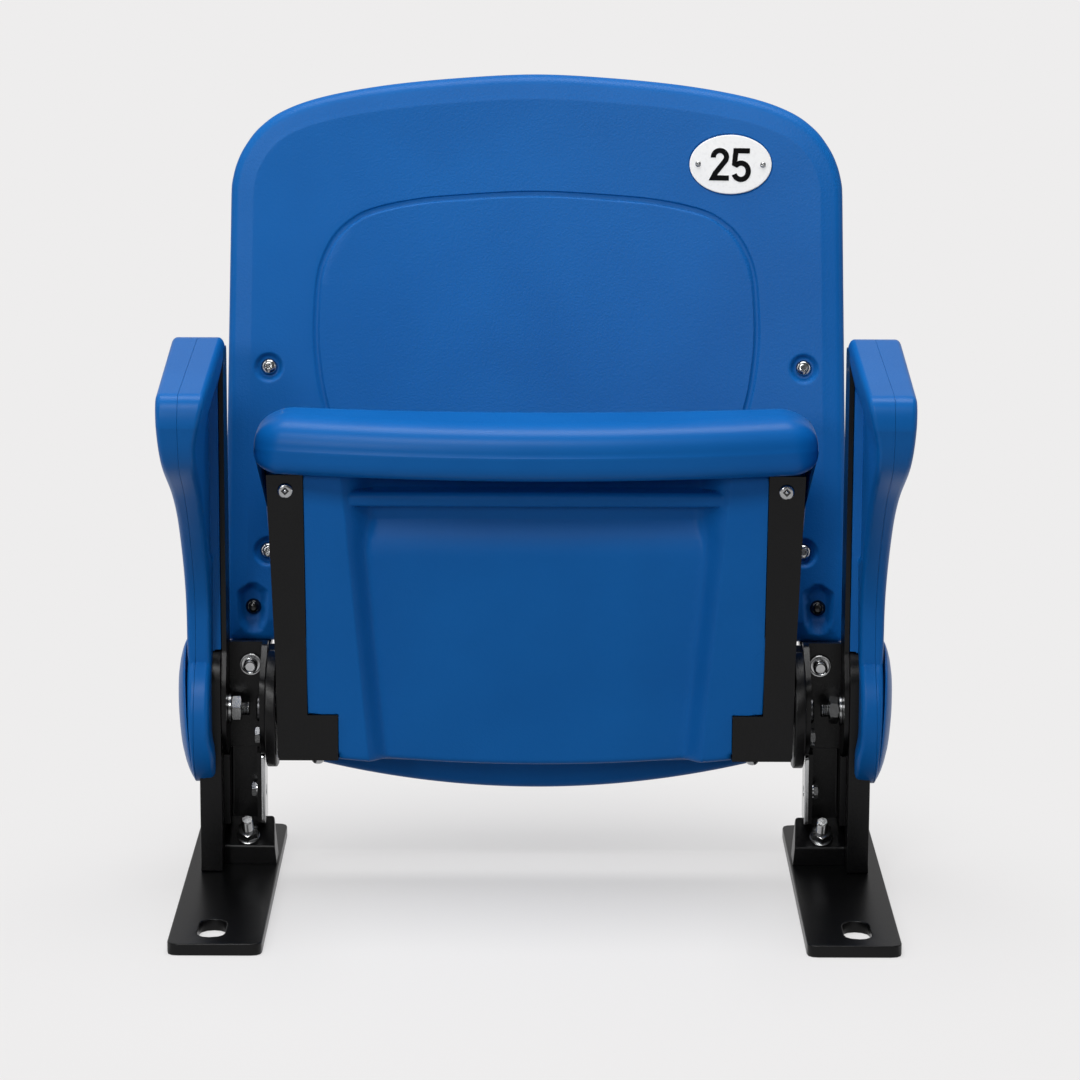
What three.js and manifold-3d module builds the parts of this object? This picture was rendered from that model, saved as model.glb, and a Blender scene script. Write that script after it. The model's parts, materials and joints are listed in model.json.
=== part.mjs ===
// A tip-up stadium seat: a moulded back and a folding seat between two short floor stands with armrests.
// Millimetres, +Z up. It faces -Y and is drawn with the seat folded up. X = 0 is the middle plane and sizes
// across are measured outwards from it. Left and right are as seen from the front. The stands are drawn
// from the floor up. Everything above them is drawn from the hinge axis, which is Y = 0, Z = 0 there.

import * as THREE from 'three';
import { mergeVertices } from 'three/addons/utils/BufferGeometryUtils.js';
import Module from 'manifold-3d';

const wasm = await Module();
wasm.setup();

// Fits and fineness
const fit = 0.3;
const overrun = 3;
const roundSides = 16;
const boltSides = 10;
const wheelSides = 20;
const cornerSteps = 3;
const curveSteps = 4;

// Overall places. Every place across is set out from the inner faces of the two hinge brackets.
const hingeHeight = 145.5;
const bracketInner = 228;
const openAngle = THREE.MathUtils.degToRad(85);

// Foot plate and its anchor holes
const plateInset = 9;
const plateWidth = 76.5;
const plateFront = 233;
const plateRear = 119;
const plateThick = 10;
const plateCorner = 9;
const anchorInset = 43;
const anchorWidth = 22.5;
const anchorFrontLength = 48;
const anchorFrontMargin = 43;
const anchorRearLength = 30;
const anchorRearMargin = 27;

// Hinge bracket: a forward-opening channel whose outer wall runs on up as the post of the armrest
const bracketWidth = 37;
const bracketWall = 5;
const postWall = 4;
const webFront = 20;
const webThick = 6;
const bracketDrop = 38.5;
const bracketRise = 53.5;
const earReach = 28;
const earRound = 24;
const earFoot = 14;
const bracketFillet = 8;
const postFront = 15;
const postCover = 12;
const bracketBoltOutset = 14.9;
const bracketBoltDrop = 19.5;
const bracketBoltRadius = 6;
const bracketBoltHead = 7;
const bracketBoltProud = 7;
const bracketBoltFlange = 9.5;
const bracketBoltFlangeThick = 2.5;

// Crown of a domed bolt head
const crownShares = [[0.88, 0.66], [0, 1]];

// Column under the bracket, with a bright strap along its inner wall
const columnInset = 5.6;
const columnWall = 3.4;
const columnOuterWall = 5;
const columnFront = 8;
const columnInnerFront = 2;
const columnFillet = 2;
const braceThick = 3.3;
const braceCorner = 4;
const columnBoltShare = 0.432;
const columnBoltBack = 8;
const columnBoltRadius = 4.5;
const columnBoltHead = 7;
const columnBoltRise = 5;

// Foot lug, a wedge block that holds the column down, and its slanted bolt
const lugInset = 7.2;
const lugTaper = 3.4;
const lugFront = 8;
const lugNose = 26;
const lugTop = 45;
const lugCorner = 3;
const footBoltOutset = 17.4;
const footBoltBack = 1;
const footBoltRadius = 5;
const footBoltFlange = 10;
const footBoltFlangeThick = 2;
const footBoltNut = 16;
const footBoltNutThick = 8;
const footBoltStud = 22;
const footBoltDepth = 14;

// Leg bar, the flat upright that the armrest grips
const legThick = 18.3;
const legFront = 32;
const legRear = 30;
const legCrown = 28;

// Bolt through armrest, leg and bracket
const armBoltRadius = 6;
const armBoltHead = 11;
const armBoltHeadRise = 6;
const armWasherRadius = 13;
const armWasherThick = 2.7;
const armNutAcross = 20;
const armNutThick = 8;
const armBoltTail = 7;

// Hinge disc, its bolt, the pivot pin and the flanged bush
const discRadius = 49.5;
const discThick = 9.4;
const discChamfer = 1;
const pinRadius = 7;
const pinHead = 11;
const pinHeadThick = 3.5;
const pinTail = 3;
const bushWall = 1.9;
const bushFlange = 12;
const bushFlangeThick = 1.9;
const stopInset = 16.5;
const stopPinRadius = 5;
const stopPinReach = 8;
const stopClearance = 0.6;
const stopRestAngle = THREE.MathUtils.degToRad(95);
const discBoltRadius = 4;
const discBoltHead = 7;
const discBoltRise = 4.5;
const discBoltFront = 12;
const discBoltDrop = 20.5;

// Torsion spring
const springWire = 1.6;
const springPlay = 1.8;
const springPitch = 3.7;
const springTurns = 4;
const springSteps = 6;
const springSides = 6;

// Seat hinge arm: an angle with a face plate in front, a side wall at the pivot and a foot under the seat
const seatArmProud = 2;
const seatArmPlate = 4;
const seatArmTopInset = 3.6;
const seatArmTopWidth = 30.4;
const seatArmFootInset = 1.5;
const seatArmFootWidth = 25.2;
const seatArmToeLength = 18;
const seatArmLipGap = 4.1;
const seatArmDrop = 34.5;
const seatArmToeRise = 4.8;
const seatArmCorner = 5;
const seatArmWall = 4.6;
const seatArmWallShort = 30.9;
const seatArmWallTip = 26;
const seatArmWaist = 20;
const seatArmHub = 22;
const seatArmNeckDrop = 11.5;
const seatScrewDrop = 13.1;
const seatScrewInset = 15.9;
const seatScrewRadius = 3;
const seatScrewHead = 6.5;
const seatScrewHeadRise = 3;
const seatScrewLength = 20;
const seatFootBoltInset = 3.5;
const seatFootBoltBack = 20;
const seatFootBoltHead = 6.5;
const seatFootBoltRise = 5.5;

// Seat: top shell with a rolled front lip, and the ribbed pan under it
const seatRear = 10;
const seatPart = 8;
const seatPartGap = 0.5;
const seatDrop = 41;
const seatBow = 3;
const seatNotchPlay = 2.4;
const seatNotchGap = 8;
const seatLowInset = 9;
const seatCorner = 10;
const dishDepth = 8;
const dishInset = 56;
const dishRise = 118;
const dishCentre = 92;
const lipDrop = 214.5;
const lipHeight = 50;
const lipFront = 67;
const lipBow = 20;
const lipDip = 4.5;
const lipOverhang = 5.7;
const lipCrown = 36;
const lipNose = 24;
const lipHem = 14;
const lipCoreFront = 10;
const lipCoreShare = 0.35;
const lipStationShares = [
  [0, 1], [0.4, 1], [0.7, 1], [0.86, 1], [0.915, 0.96], [0.955, 0.86], [0.983, 0.71], [1, 0.47],
];
const panDepth = 32;
const panLipGap = 2;
const panBow = 9;
const recessInsetHigh = 64.3;
const recessInsetLow = 87.8;
const recessDepth = 15;
const recessSlope = 14;
const slotWall = 6;
const ribDrop = 17.7;
const ribThick = 12.8;
const ribGap = 14.5;
const ribSetback = 4;
const ribBury = 1.2;
const ribRound = 5;
const creaseDrop = 21;

// Back shell
const backOutset = 40;
const backTaper = 4;
const backFootInset = 22;
const backDrop = 88;
const backFootRise = 22.5;
const backFootRound = 22;
const backShoulder = 50.5;
const backShoulderFillet = 6;
const backLobeRound = 22;
const backCrown = 99.5;
const backRise = 521;
const backThick = 22;
const backGap = 19;
const backLeanShare = 0.25;
const backLeanStart = 54.5;
const backLeanSoft = 60;
const backWrap = 20;
const backWrapLowShare = 0.3;
const backRim = 18;
const backRimDepth = 11;
const backSideSteps = 3;
const backTopSteps = 14;
const backRingShares = [0.3, 0.65];
const backTopShares = [
  [0.9825, 0.1], [0.969, 0.25], [0.9425, 0.4], [0.895, 0.56], [0.818, 0.7], [0.69, 0.815], [0.485, 0.91],
  [0.235, 0.972], [0, 1],
];
const rimShares = [[0, 1], [0.12, 0.6], [0.4, 0.2], [1, 0]];
const panelHalf = 192.9;
const panelFoot = 104;
const panelTop = 424;
const panelShares = [
  [0, 0], [0.45, 0.02], [0.73, 0.106], [0.89, 0.309], [0.976, 0.488], [1, 0.637], [0.983, 0.784],
  [0.912, 0.884], [0.749, 0.953], [0.359, 0.99], [0, 1],
];
const panelSteps = 12;
const grooveWidth = 5.6;
const grooveDepth = 1.8;
const rearRimShares = [[0, 0.82], [0.4, 0.2], [1, 0]];

// Back bolts, their dished pockets, and the strap that carries the back
const lowerBoltInset = 24;
const lowerBoltSpacing = 48.1;
const upperBoltSpacing = 155.8;
const backBoltOutset = 2.5;
const lowerBoltOutset = 12.8;
const backBoltRadius = 4;
const backBoltHead = 6.75;
const backBoltHeadRise = 4;
const dishedRadius = 12;
const dishedFloor = 8.5;
const dishedDepth = 4;
const lowerPocketHalf = 14;
const lowerPocketFloorShare = 0.66;
const lowerPocketDepth = 8;
const strapInnerEdge = 18.5;
const strapOuterEdge = 19.5;
const strapFootInset = 3;
const strapShift = 95;
const strapShiftLength = 40;
const strapPlate = 6;
const strapFoot = 4.5;
const strapShelfDrop = 7;
const strapTail = 21;
const strapBend = 9;
const strapSteps = 3;
const strapPlay = 1.5;
const weldNutAcross = 15;
const weldNutThick = 6;
const bossRadius = 13;

// Number plate
const numberInset = 60.7;
const numberDrop = 73.5;
const numberHalfWidth = 35.5;
const numberHalfHeight = 25.7;
const numberThick = 2;
const numberSink = 1.3;
const numberScrewInset = 7.5;
const numberScrewRadius = 1.6;
const numberScrewHead = 2.6;
const numberScrewHeadRise = 1.4;
const numberScrewLength = 9;

// Armrest shells and the domed cap on the outer one
const armRise = 321.5;
const armFall = 14;
const armReach = 217;
const armNoseRound = 17;
const armNoseDepth = 25.5;
const armRearCover = 2;
const armRearRound = 48;
const armDisc = 62;
const armNeckAngle = THREE.MathUtils.degToRad(127);
const armFrontShares = [[0.912, 0.767], [0.645, 0.652], [0.369, 0.484], [0.2, 0.32]];
const armLegCover = 3.4;
const armSeamLean = 5.7;
const armOuterThick = 18.2;
const armOuterNeckThick = 5.5;
const armInnerOverlap = 4.5;
const armInnerMiddleOutset = 4;
const armInnerNeckThick = 14.3;
const armInnerHemThick = 17;
const armSideRound = 40;
const armFlangeRound = 16;
const armSideShares = { top: 1.05, shoulder: 0.87, hip: 0.62, foot: -0.21 };
const armInnerShares = { flange: 0.94, shoulder: 0.83, neck: 0.075, disc: -0.048, hem: -0.086 };
const armWebOutset = 3;
const armWebRound = 12;
const armWebShares = [
  [0.1, 0.4], [0.29, 0.45], [0.62, 0.67], [0.86, 0.78], [0.86, 0.84], [0.7, 0.88], [0.1, 0.88],
];
const armRibDrop = 67;
const armRibLap = 2;
const armRibFrontGap = 3;
const capEdge = 2;
const capBulge = 9.7;
const capRecessEdge = 2;
const capHeadGap = 1.7;
const capHole = 2;
const capShares = [[1, 0], [0.98, 0.15], [0.9, 0.42], [0.74, 0.72], [0.45, 0.94]];

// Places that follow from the sizes

// Stand
const plateInner = bracketInner - plateInset;
const plateTop = plateThick + fit;
const bracketFloor = hingeHeight - bracketDrop;
const bracketOuter = bracketInner + bracketWidth;
const webBack = webFront + webThick;
const legInner = bracketOuter + fit;
const legOuter = legInner + legThick;
const lugInner = bracketInner - lugInset;
const columnInner = bracketInner + columnInset;
const columnFlangeLow = lugTop + 2 * fit;
const columnTop = bracketFloor - fit;
const postRise = armRise - postCover;

// Hinge, from the bracket inwards
const discInner = bracketInner - fit - discThick;
const bushInner = discInner - fit - bushFlangeThick;
const seatArmOuter = bushInner - fit;
const seatArmInner = seatArmOuter - seatArmWall;
const springOuter = seatArmInner - fit - springWire;
const springInner = springOuter - springTurns * springPitch;
const pinEnd = springInner - springWire - pinTail;
const stopRadius = discRadius - stopInset;

// Seat
const lipRise = lipDrop + lipHeight;
const lipHalf = bracketInner + lipOverhang;
const panFront = seatPart + panDepth;
const panHalf = seatArmInner - fit;
const panRise = lipDrop - panLipGap;
const seatHalfHigh = bracketInner;
const seatNotchHalf = pinEnd - seatNotchPlay;
const seatNotchRise = discRadius + seatNotchGap;
const ribHigh = panRise - ribDrop;
const ribLow = ribHigh - ribThick;
const slotRise = ribLow - ribGap;
const creaseRise = slotRise - creaseDrop;
const slotFloor = seatPart + slotWall;
const recessFloor = panFront - recessDepth;

// Seat arms
const seatArmFront = panFront + seatArmProud;
const seatArmRise = lipDrop - seatArmLipGap;
const seatArmTopOuter = bracketInner - seatArmTopInset;
const seatArmFootOuter = discInner - seatArmFootInset;
const seatFootBoltAcross = seatNotchHalf - seatFootBoltInset;
const seatArmToe = seatFootBoltAcross - seatArmToeLength;
const seatArmTopInner = seatArmTopOuter - seatArmTopWidth;
const seatArmFootInner = seatArmFootOuter - seatArmFootWidth;

// Back
const backHalf = bracketInner + backOutset;
const backFootHalf = bracketInner - backFootInset;
const backSetback = seatDrop + backGap;
const backSideRise = backRise - backCrown;
const backFootEdge = backDrop - backFootRise;
const backBoltAcross = bracketInner + backBoltOutset;
const lowerBoltAcross = backBoltAcross + lowerBoltOutset;
const lowerBoltRise = backShoulder + lowerBoltInset;
const middleBoltRise = lowerBoltRise + lowerBoltSpacing;
const upperBoltRise = middleBoltRise + upperBoltSpacing;
const strapShelf = backShoulder - strapShelfDrop;
const strapInner = backBoltAcross - strapInnerEdge;
const strapOuter = backBoltAcross + strapOuterEdge;
const strapFootInner = bracketInner + fit;
const strapFootOuter = bracketOuter - strapFootInset;
const numberAcross = bracketInner - numberInset;
const numberRise = backRise - numberDrop;

// Armrests
const armRear = webBack + armRearCover;
const armSeamFoot = legOuter + armLegCover;
const armSeamTop = armSeamFoot - armSeamLean;
const armKnee = armReach - armNoseRound;
const armNose = armRise - armFall - armNoseDepth;
const armOuterTop = armSeamTop + armOuterThick;
const armOuterNeck = armSeamFoot + armOuterNeckThick;
const armInnerTop = bracketOuter - armInnerOverlap;
const armInnerMiddle = bracketOuter + armInnerMiddleOutset;
const armInnerNeck = armSeamFoot - armInnerNeckThick;
const armInnerHem = armSeamFoot - armInnerHemThick;
const capRadius = armDisc - capEdge;
const capRecess = armBoltHead + capRecessEdge;
const capRecessDepth = armSeamFoot + armBoltHeadRise + capHeadGap - armOuterNeck;

// Finishes
const finishes = {
  bluePlastic: { color: 0x1b5ba4, roughness: 0.42, metalness: 0 },
  blackSteel: { color: 0x191a1b, roughness: 0.5, metalness: 0.3 },
  brightSteel: { color: 0xc9cacb, roughness: 0.25, metalness: 1 },
  darkSteel: { color: 0x2b2b2c, roughness: 0.4, metalness: 0.8 },
  whitePlate: { color: 0xf2f2f0, roughness: 0.35, metalness: 0 },
};

const axisX = new THREE.Vector3(1, 0, 0);
const axisY = new THREE.Vector3(0, 1, 0);
const axisZ = new THREE.Vector3(0, 0, 1);
const forward = new THREE.Vector3(0, -1, 0);
const down = new THREE.Vector3(0, 0, -1);
const at = (x, y, z) => new THREE.Vector3(x, y, z);

// Closed bodies

// Signed volume of an indexed geometry: positive when its faces point outwards.
function volumeOf(geometry) {
  const { position } = geometry.attributes;
  const corners = [at(0, 0, 0), at(0, 0, 0), at(0, 0, 0)];
  let total = 0;
  for (let start = 0; start < geometry.index.count; start += 3) {
    corners.forEach((corner, turn) => {
      corner.fromBufferAttribute(position, geometry.index.getX(start + turn));
    });
    total += corners[0].dot(corners[1].cross(corners[2])) / 6;
  }
  return total;
}

// Leaves only shared corner points and triangles, with every face pointing outwards.
function closed(geometry) {
  const bare = new THREE.BufferGeometry().setAttribute('position', geometry.getAttribute('position'));
  const merged = mergeVertices(geometry.index ? bare.setIndex(geometry.index) : bare);
  const index = Uint32Array.from(merged.index.array);
  merged.setIndex(new THREE.BufferAttribute(index, 1));
  if (volumeOf(merged) < 0) index.reverse();
  return merged;
}

function toSolid(geometry) {
  const { attributes, index } = closed(geometry);
  const vertProperties = attributes.position.array;
  return new wasm.Manifold(new wasm.Mesh({ numProp: 3, vertProperties, triVerts: index.array }));
}

function fromSolid(solid) {
  const { vertProperties, triVerts } = solid.getMesh();
  const geometry = new THREE.BufferGeometry();
  geometry.setAttribute('position', new THREE.BufferAttribute(vertProperties, 3));
  geometry.setIndex(new THREE.BufferAttribute(triVerts, 1));
  return geometry;
}

const combine = (how) => (body, ...others) =>
  fromSolid(others.reduce((solid, other) => solid[how](toSolid(other)), toSolid(body)));
const cut = combine('subtract');
const join = combine('add');
const common = combine('intersect');

// Outlines

// A closed outline through corners, each given as [across, up, radius], with rounded corners.
function rounded(corners) {
  const shape = new THREE.Shape();
  const corner = (index) => new THREE.Vector2(...corners.at(index % corners.length));
  corners.forEach(([, , radius = 0], index) => {
    const tip = corner(index);
    const back = corner(index - 1).sub(tip);
    const ahead = corner(index + 1).sub(tip);
    const half = Math.acos(back.dot(ahead) / (back.length() * ahead.length())) / 2;
    const reach = Math.min(radius / Math.tan(half), back.length() / 2, ahead.length() / 2);
    const start = back.setLength(reach).add(tip);
    const end = ahead.setLength(reach).add(tip);
    shape[index ? 'lineTo' : 'moveTo'](start.x, start.y);
    if (radius > 0) shape.quadraticCurveTo(tip.x, tip.y, end.x, end.y);
  });
  shape.closePath();
  return shape;
}

const rectangle = ([left, bottom], [right, top], radius = 0) =>
  rounded([[left, bottom, radius], [right, bottom, radius], [right, top, radius], [left, top, radius]]);

// The right half of an outline, bottom to top, and its mirror image on the left, top to bottom.
const bothSides = (half) => [...half, ...half.toReversed().map(([x, z, radius]) => [-x, z, radius])];

function circle(radius, sides, x = 0, y = 0) {
  const points = new THREE.Path().absarc(x, y, radius, 0, 2 * Math.PI).getPoints(sides / 2);
  return new THREE.Shape(points.slice(1));
}

// Radius of a round hole whose flat sides all clear a shaft by the fit.
const boreFor = (radius) => (radius + fit) / Math.cos(Math.PI / boltSides);
const boltCircle = (radius, x, y) => circle(boreFor(radius), boltSides, x, y);

function hexagon(across) {
  const corners = [];
  for (let turn = 0; turn < 6; turn += 1) {
    const angle = (turn * Math.PI) / 3;
    const reach = across / Math.sqrt(3);
    corners.push([reach * Math.cos(angle), reach * Math.sin(angle)]);
  }
  return rounded(corners);
}

// A hole outline with round ends, longer along the second axis.
function slot(x, y, width, length) {
  const end = (length - width) / 2;
  const path = new THREE.Path();
  path.absarc(x, y + end, width / 2, 0, Math.PI);
  path.absarc(x, y - end, width / 2, Math.PI, 2 * Math.PI);
  return path.closePath();
}

// Bodies from outlines

function extrude(shape, depth, steps = cornerSteps, chamfer = 0) {
  const edge = { bevelThickness: chamfer, bevelSize: chamfer, bevelOffset: -chamfer, bevelSegments: 1 };
  const settings = { depth: depth - 2 * chamfer, curveSegments: steps, bevelEnabled: chamfer > 0, ...edge };
  return closed(new THREE.ExtrudeGeometry(shape, settings).translate(0, 0, chamfer));
}

// Stands an extrusion of a (y, z) outline up, its thickness growing outwards from x.
const sideways = (geometry, x) =>
  geometry.applyMatrix4(new THREE.Matrix4().makeBasis(axisY, axisZ, axisX)).translate(x, 0, 0);

// Stands an extrusion of an (x, z) outline up, its thickness reaching forward from the rear face at y.
const facing = (geometry, y) =>
  geometry.applyMatrix4(new THREE.Matrix4().makeBasis(axisX, axisZ, forward)).translate(0, y, 0);

// A body turned about Y from [radius, height] points, moved so that its own Y axis points along heading.
function turned(profile, position, heading, sides = roundSides) {
  const points = profile.map(([radius, height]) => new THREE.Vector2(radius, height));
  const aim = new THREE.Quaternion().setFromUnitVectors(axisY, heading);
  return closed(new THREE.LatheGeometry(points, sides).applyQuaternion(aim).translate(...position));
}

const rod = (radius, low, high, position, heading, sides) =>
  turned([[0, low], [radius, low], [radius, high], [0, high]], position, heading, sides);

// Triangles between each ring of points and the next, where all rings hold equally many points.
function bands(rings) {
  const count = rings[0].length;
  return rings.slice(1).flatMap((ring, band) => ring.flatMap((point, turn) => {
    const here = band * count + turn;
    const next = band * count + ((turn + 1) % count);
    return [here, next, next + count, here, next + count, here + count];
  }));
}

// Joins rings into one closed body, with a fan over the first and the last ring.
function loft(rings) {
  const count = rings[0].length;
  const points = rings.flat();
  const index = bands(rings);
  [[0, 1], [rings.length - 1, 0]].forEach(([ring, first]) => {
    const middle = rings[ring].reduce((sum, point) => sum.add(point), at(0, 0, 0)).divideScalar(count);
    rings[ring].forEach((point, turn) => {
      const pair = [ring * count + turn, ring * count + ((turn + 1) % count)];
      index.push(points.length, pair[first], pair[1 - first]);
    });
    points.push(middle);
  });
  return closed(new THREE.BufferGeometry().setFromPoints(points).setIndex(index));
}

// Joins rings into one closed tube, whose last ring meets its first.
function hoop(rings) {
  const round = [...rings, rings[0]];
  return closed(new THREE.BufferGeometry().setFromPoints(round.flat()).setIndex(bands(round)));
}

// A tapering body between an (x, z) outline at one y and another outline of as many corners at a second y.
const taper = (first, firstY, second, secondY) =>
  loft([first.map(([x, z]) => at(x, firstY, z)), second.map(([x, z]) => at(x, secondY, z))]);

// Fasteners

// Outline of a bolt from its tail to the crown of its domed head. The head's seat is at height zero.
function boltProfile(radius, length, head, rise) {
  const crown = crownShares.map(([across, up]) => [across * head, up * rise]);
  return [[0, -length], [radius, -length], [radius, 0], [head, 0], ...crown];
}

// The hole that a bolt needs, from its seat down.
const boltHole = (radius, length, position, heading) =>
  rod(radius + fit, -length - fit, overrun, position, heading, boltSides);

function piece(name, finish, geometry) {
  geometry.computeVertexNormals();
  const mesh = new THREE.Mesh(geometry, new THREE.MeshStandardMaterial(finishes[finish]));
  mesh.name = name;
  return mesh;
}

// Puts a turned fastener, drawn about its own Y axis, at its seat with its head along heading.
function fastener(name, finish, geometry, position, heading) {
  const mesh = piece(name, finish, geometry);
  mesh.position.copy(position);
  mesh.quaternion.setFromUnitVectors(axisY, heading);
  return mesh;
}

const drawn = (profile) => turned(profile, at(0, 0, 0), axisY, boltSides);

// Stand: foot plate, leg, lug and column, all from the floor up

function footPlate(side) {
  const shape = rectangle([plateInner, -plateFront], [plateInner + plateWidth, plateRear], plateCorner);
  const across = plateInner + anchorInset;
  shape.holes.push(slot(across, anchorFrontMargin - plateFront, anchorWidth, anchorFrontLength));
  shape.holes.push(slot(across, plateRear - anchorRearMargin, anchorWidth, anchorRearLength));
  return piece(`${side}_foot_plate`, 'blackSteel', extrude(shape, plateThick));
}

// Side outline of the leg, which ends round above the hinge axis. Grown, it is the leg's pocket.
function legOutline(low, hinge, grow = 0) {
  const half = (legFront + legRear) / 2 + grow;
  const middle = (legRear - legFront) / 2;
  const shape = new THREE.Shape();
  shape.moveTo(middle - half, low);
  shape.lineTo(middle + half, low);
  shape.absarc(middle, hinge + legCrown, half, 0, Math.PI);
  return shape.closePath();
}

function legBar(side) {
  const shape = legOutline(plateTop, hingeHeight);
  shape.holes.push(boltCircle(armBoltRadius, 0, hingeHeight));
  return piece(`${side}_leg_bar`, 'blackSteel', sideways(extrude(shape, legThick, curveSteps), legInner));
}

const lugSlope = Math.atan2(lugTop - lugNose, webFront - fit + lugFront);
const footBoltHeading = at(0, -Math.sin(lugSlope), Math.cos(lugSlope));
const footBoltRise = lugNose + (footBoltBack + lugFront) * Math.tan(lugSlope);
const footBoltSeat = at(bracketInner + footBoltOutset, footBoltBack, footBoltRise);

function footLug(side) {
  const back = webFront - fit;
  const wedge = rounded([
    [-lugFront, plateTop], [back, plateTop], [back, lugTop], [-lugFront, lugNose, lugCorner],
  ]);
  const outer = legInner - fit;
  const front = rounded([
    [lugInner, plateTop], [outer, plateTop], [outer, lugTop], [lugInner + lugTaper, lugTop, lugCorner],
  ]);
  const block = common(
    sideways(extrude(wedge, outer - lugInner), lugInner),
    facing(extrude(front, lugFront + back), back),
  );
  const hole = boltHole(footBoltRadius, footBoltDepth, footBoltSeat, footBoltHeading);
  return piece(`${side}_foot_lug`, 'blackSteel', cut(block, hole));
}

// A flanged stud with a hexagon nut that sits square on the lug's slope.
function footBolt(side) {
  const flangeTop = footBoltFlangeThick;
  const nutTop = flangeTop + footBoltNutThick;
  const stud = drawn([
    [0, -footBoltDepth], [footBoltRadius, -footBoltDepth], [footBoltRadius, 0], [footBoltFlange, 0],
    [footBoltFlange, flangeTop], [footBoltRadius, flangeTop], [footBoltRadius, footBoltStud],
    [0, footBoltStud],
  ]);
  const nut = extrude(hexagon(footBoltNut), nutTop - flangeTop / 2);
  nut.rotateX(-Math.PI / 2).translate(0, flangeTop / 2, 0);
  const seat = footBoltHeading.clone().multiplyScalar(fit).add(footBoltSeat);
  return fastener(`${side}_foot_bolt`, 'brightSteel', join(stud, nut), seat, footBoltHeading);
}

const columnBoltHeight = THREE.MathUtils.lerp(columnFlangeLow, columnTop, columnBoltShare);
const columnBoltSeat = at(columnInner + columnWall, columnBoltBack, columnBoltHeight);

function column(side) {
  const inside = columnInner + columnWall;
  const channel = rounded([
    [columnInner, -columnInnerFront], [inside, -columnInnerFront], [inside, webFront, columnFillet],
    [bracketOuter - columnOuterWall, webFront, columnFillet], [bracketOuter - columnOuterWall, -columnFront],
    [bracketOuter, -columnFront], [bracketOuter, webBack, columnFillet], [columnInner, webBack, columnFillet],
  ]);
  const walls = extrude(channel, columnTop - columnFlangeLow).translate(0, 0, columnFlangeLow);
  const sheet = rectangle([columnInner, plateTop], [bracketOuter, columnTop]);
  const web = facing(extrude(sheet, webThick), webBack);
  const hole = boltHole(columnBoltRadius, columnWall + overrun, columnBoltSeat, axisX);
  return piece(`${side}_column`, 'blackSteel', cut(join(walls, web), hole));
}

function columnStrap(side) {
  const low = [-columnFront, columnFlangeLow];
  const high = [webBack, columnTop];
  const shape = rectangle(low, high, braceCorner);
  shape.holes.push(boltCircle(columnBoltRadius, columnBoltBack, columnBoltHeight));
  const geometry = sideways(extrude(shape, braceThick), columnInner - fit - braceThick);
  return piece(`${side}_column_strap`, 'brightSteel', geometry);
}

function columnBolt(side) {
  const length = columnWall + braceThick;
  const profile = boltProfile(columnBoltRadius, length, columnBoltHead, columnBoltRise);
  const seat = columnBoltSeat.clone().add(at(fit, 0, 0));
  return fastener(`${side}_column_bolt`, 'brightSteel', drawn(profile), seat, axisX);
}

// Hinge bracket and the bolts in it, from the hinge axis

const discBoltSeat = at(bracketInner + bracketWall, -discBoltFront, -discBoltDrop);
const bracketBoltSeat = at(bracketInner + bracketBoltOutset, webFront, bracketRise - bracketBoltDrop);

function hingeBracket(side) {
  const ear = [
    [-earReach, bracketRise / 2, earRound], [-earReach, -bracketDrop / 2, earRound],
    [-webFront / 2, -bracketDrop, earFoot],
  ];
  const innerWall = rounded([
    [webBack, -bracketDrop], [webBack, bracketRise], [webFront / 2, bracketRise, bracketFillet], ...ear,
  ]);
  const post = rounded([
    [webBack, -bracketDrop], [webBack, postRise, bracketFillet], [-postFront, postRise, bracketFillet],
    [-postFront, bracketRise, bracketFillet], ...ear,
  ]);
  const web = rectangle([bracketInner, -bracketDrop], [bracketOuter, bracketRise]);
  const blank = join(
    facing(extrude(web, webThick), webBack),
    sideways(extrude(innerWall, bracketWall), bracketInner),
    sideways(extrude(post, postWall), bracketOuter - postWall),
  );
  const holes = [
    boltHole(armBoltRadius, postWall + overrun, at(bracketOuter, 0, 0), axisX),
    boltHole(pinRadius, bracketWall + overrun, at(bracketInner + bracketWall, 0, 0), axisX),
    boltHole(discBoltRadius, bracketWall + overrun, discBoltSeat, axisX),
    boltHole(bracketBoltRadius, webThick + overrun, bracketBoltSeat, forward),
  ];
  return piece(`${side}_hinge_bracket`, 'blackSteel', cut(blank, ...holes));
}

function bracketBolt(side) {
  const length = webThick + fit + strapPlate + weldNutThick;
  const profile = [
    [0, -length], [bracketBoltRadius, -length], [bracketBoltRadius, 0], [bracketBoltFlange, 0],
    [bracketBoltFlange, bracketBoltFlangeThick], [bracketBoltHead, bracketBoltFlangeThick],
    [bracketBoltHead, bracketBoltProud], [0, bracketBoltProud],
  ];
  const seat = bracketBoltSeat.clone().addScaledVector(forward, fit);
  return fastener(`${side}_bracket_bolt`, 'brightSteel', drawn(profile), seat, forward);
}

const armWasherOuter = bracketOuter - postWall - fit;
const armNutOuter = armWasherOuter - armWasherThick - fit;

function armWasher(side) {
  const shape = circle(armWasherRadius, roundSides);
  shape.holes.push(boltCircle(armBoltRadius));
  const geometry = sideways(extrude(shape, armWasherThick), armWasherOuter - armWasherThick);
  return piece(`${side}_arm_washer`, 'brightSteel', geometry);
}

function armNut(side) {
  const shape = hexagon(armNutAcross);
  shape.holes.push(boltCircle(armBoltRadius));
  const geometry = sideways(extrude(shape, armNutThick), armNutOuter - armNutThick);
  return piece(`${side}_arm_nut`, 'brightSteel', geometry);
}

const armBoltSeatAcross = armSeamFoot + fit;

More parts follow.
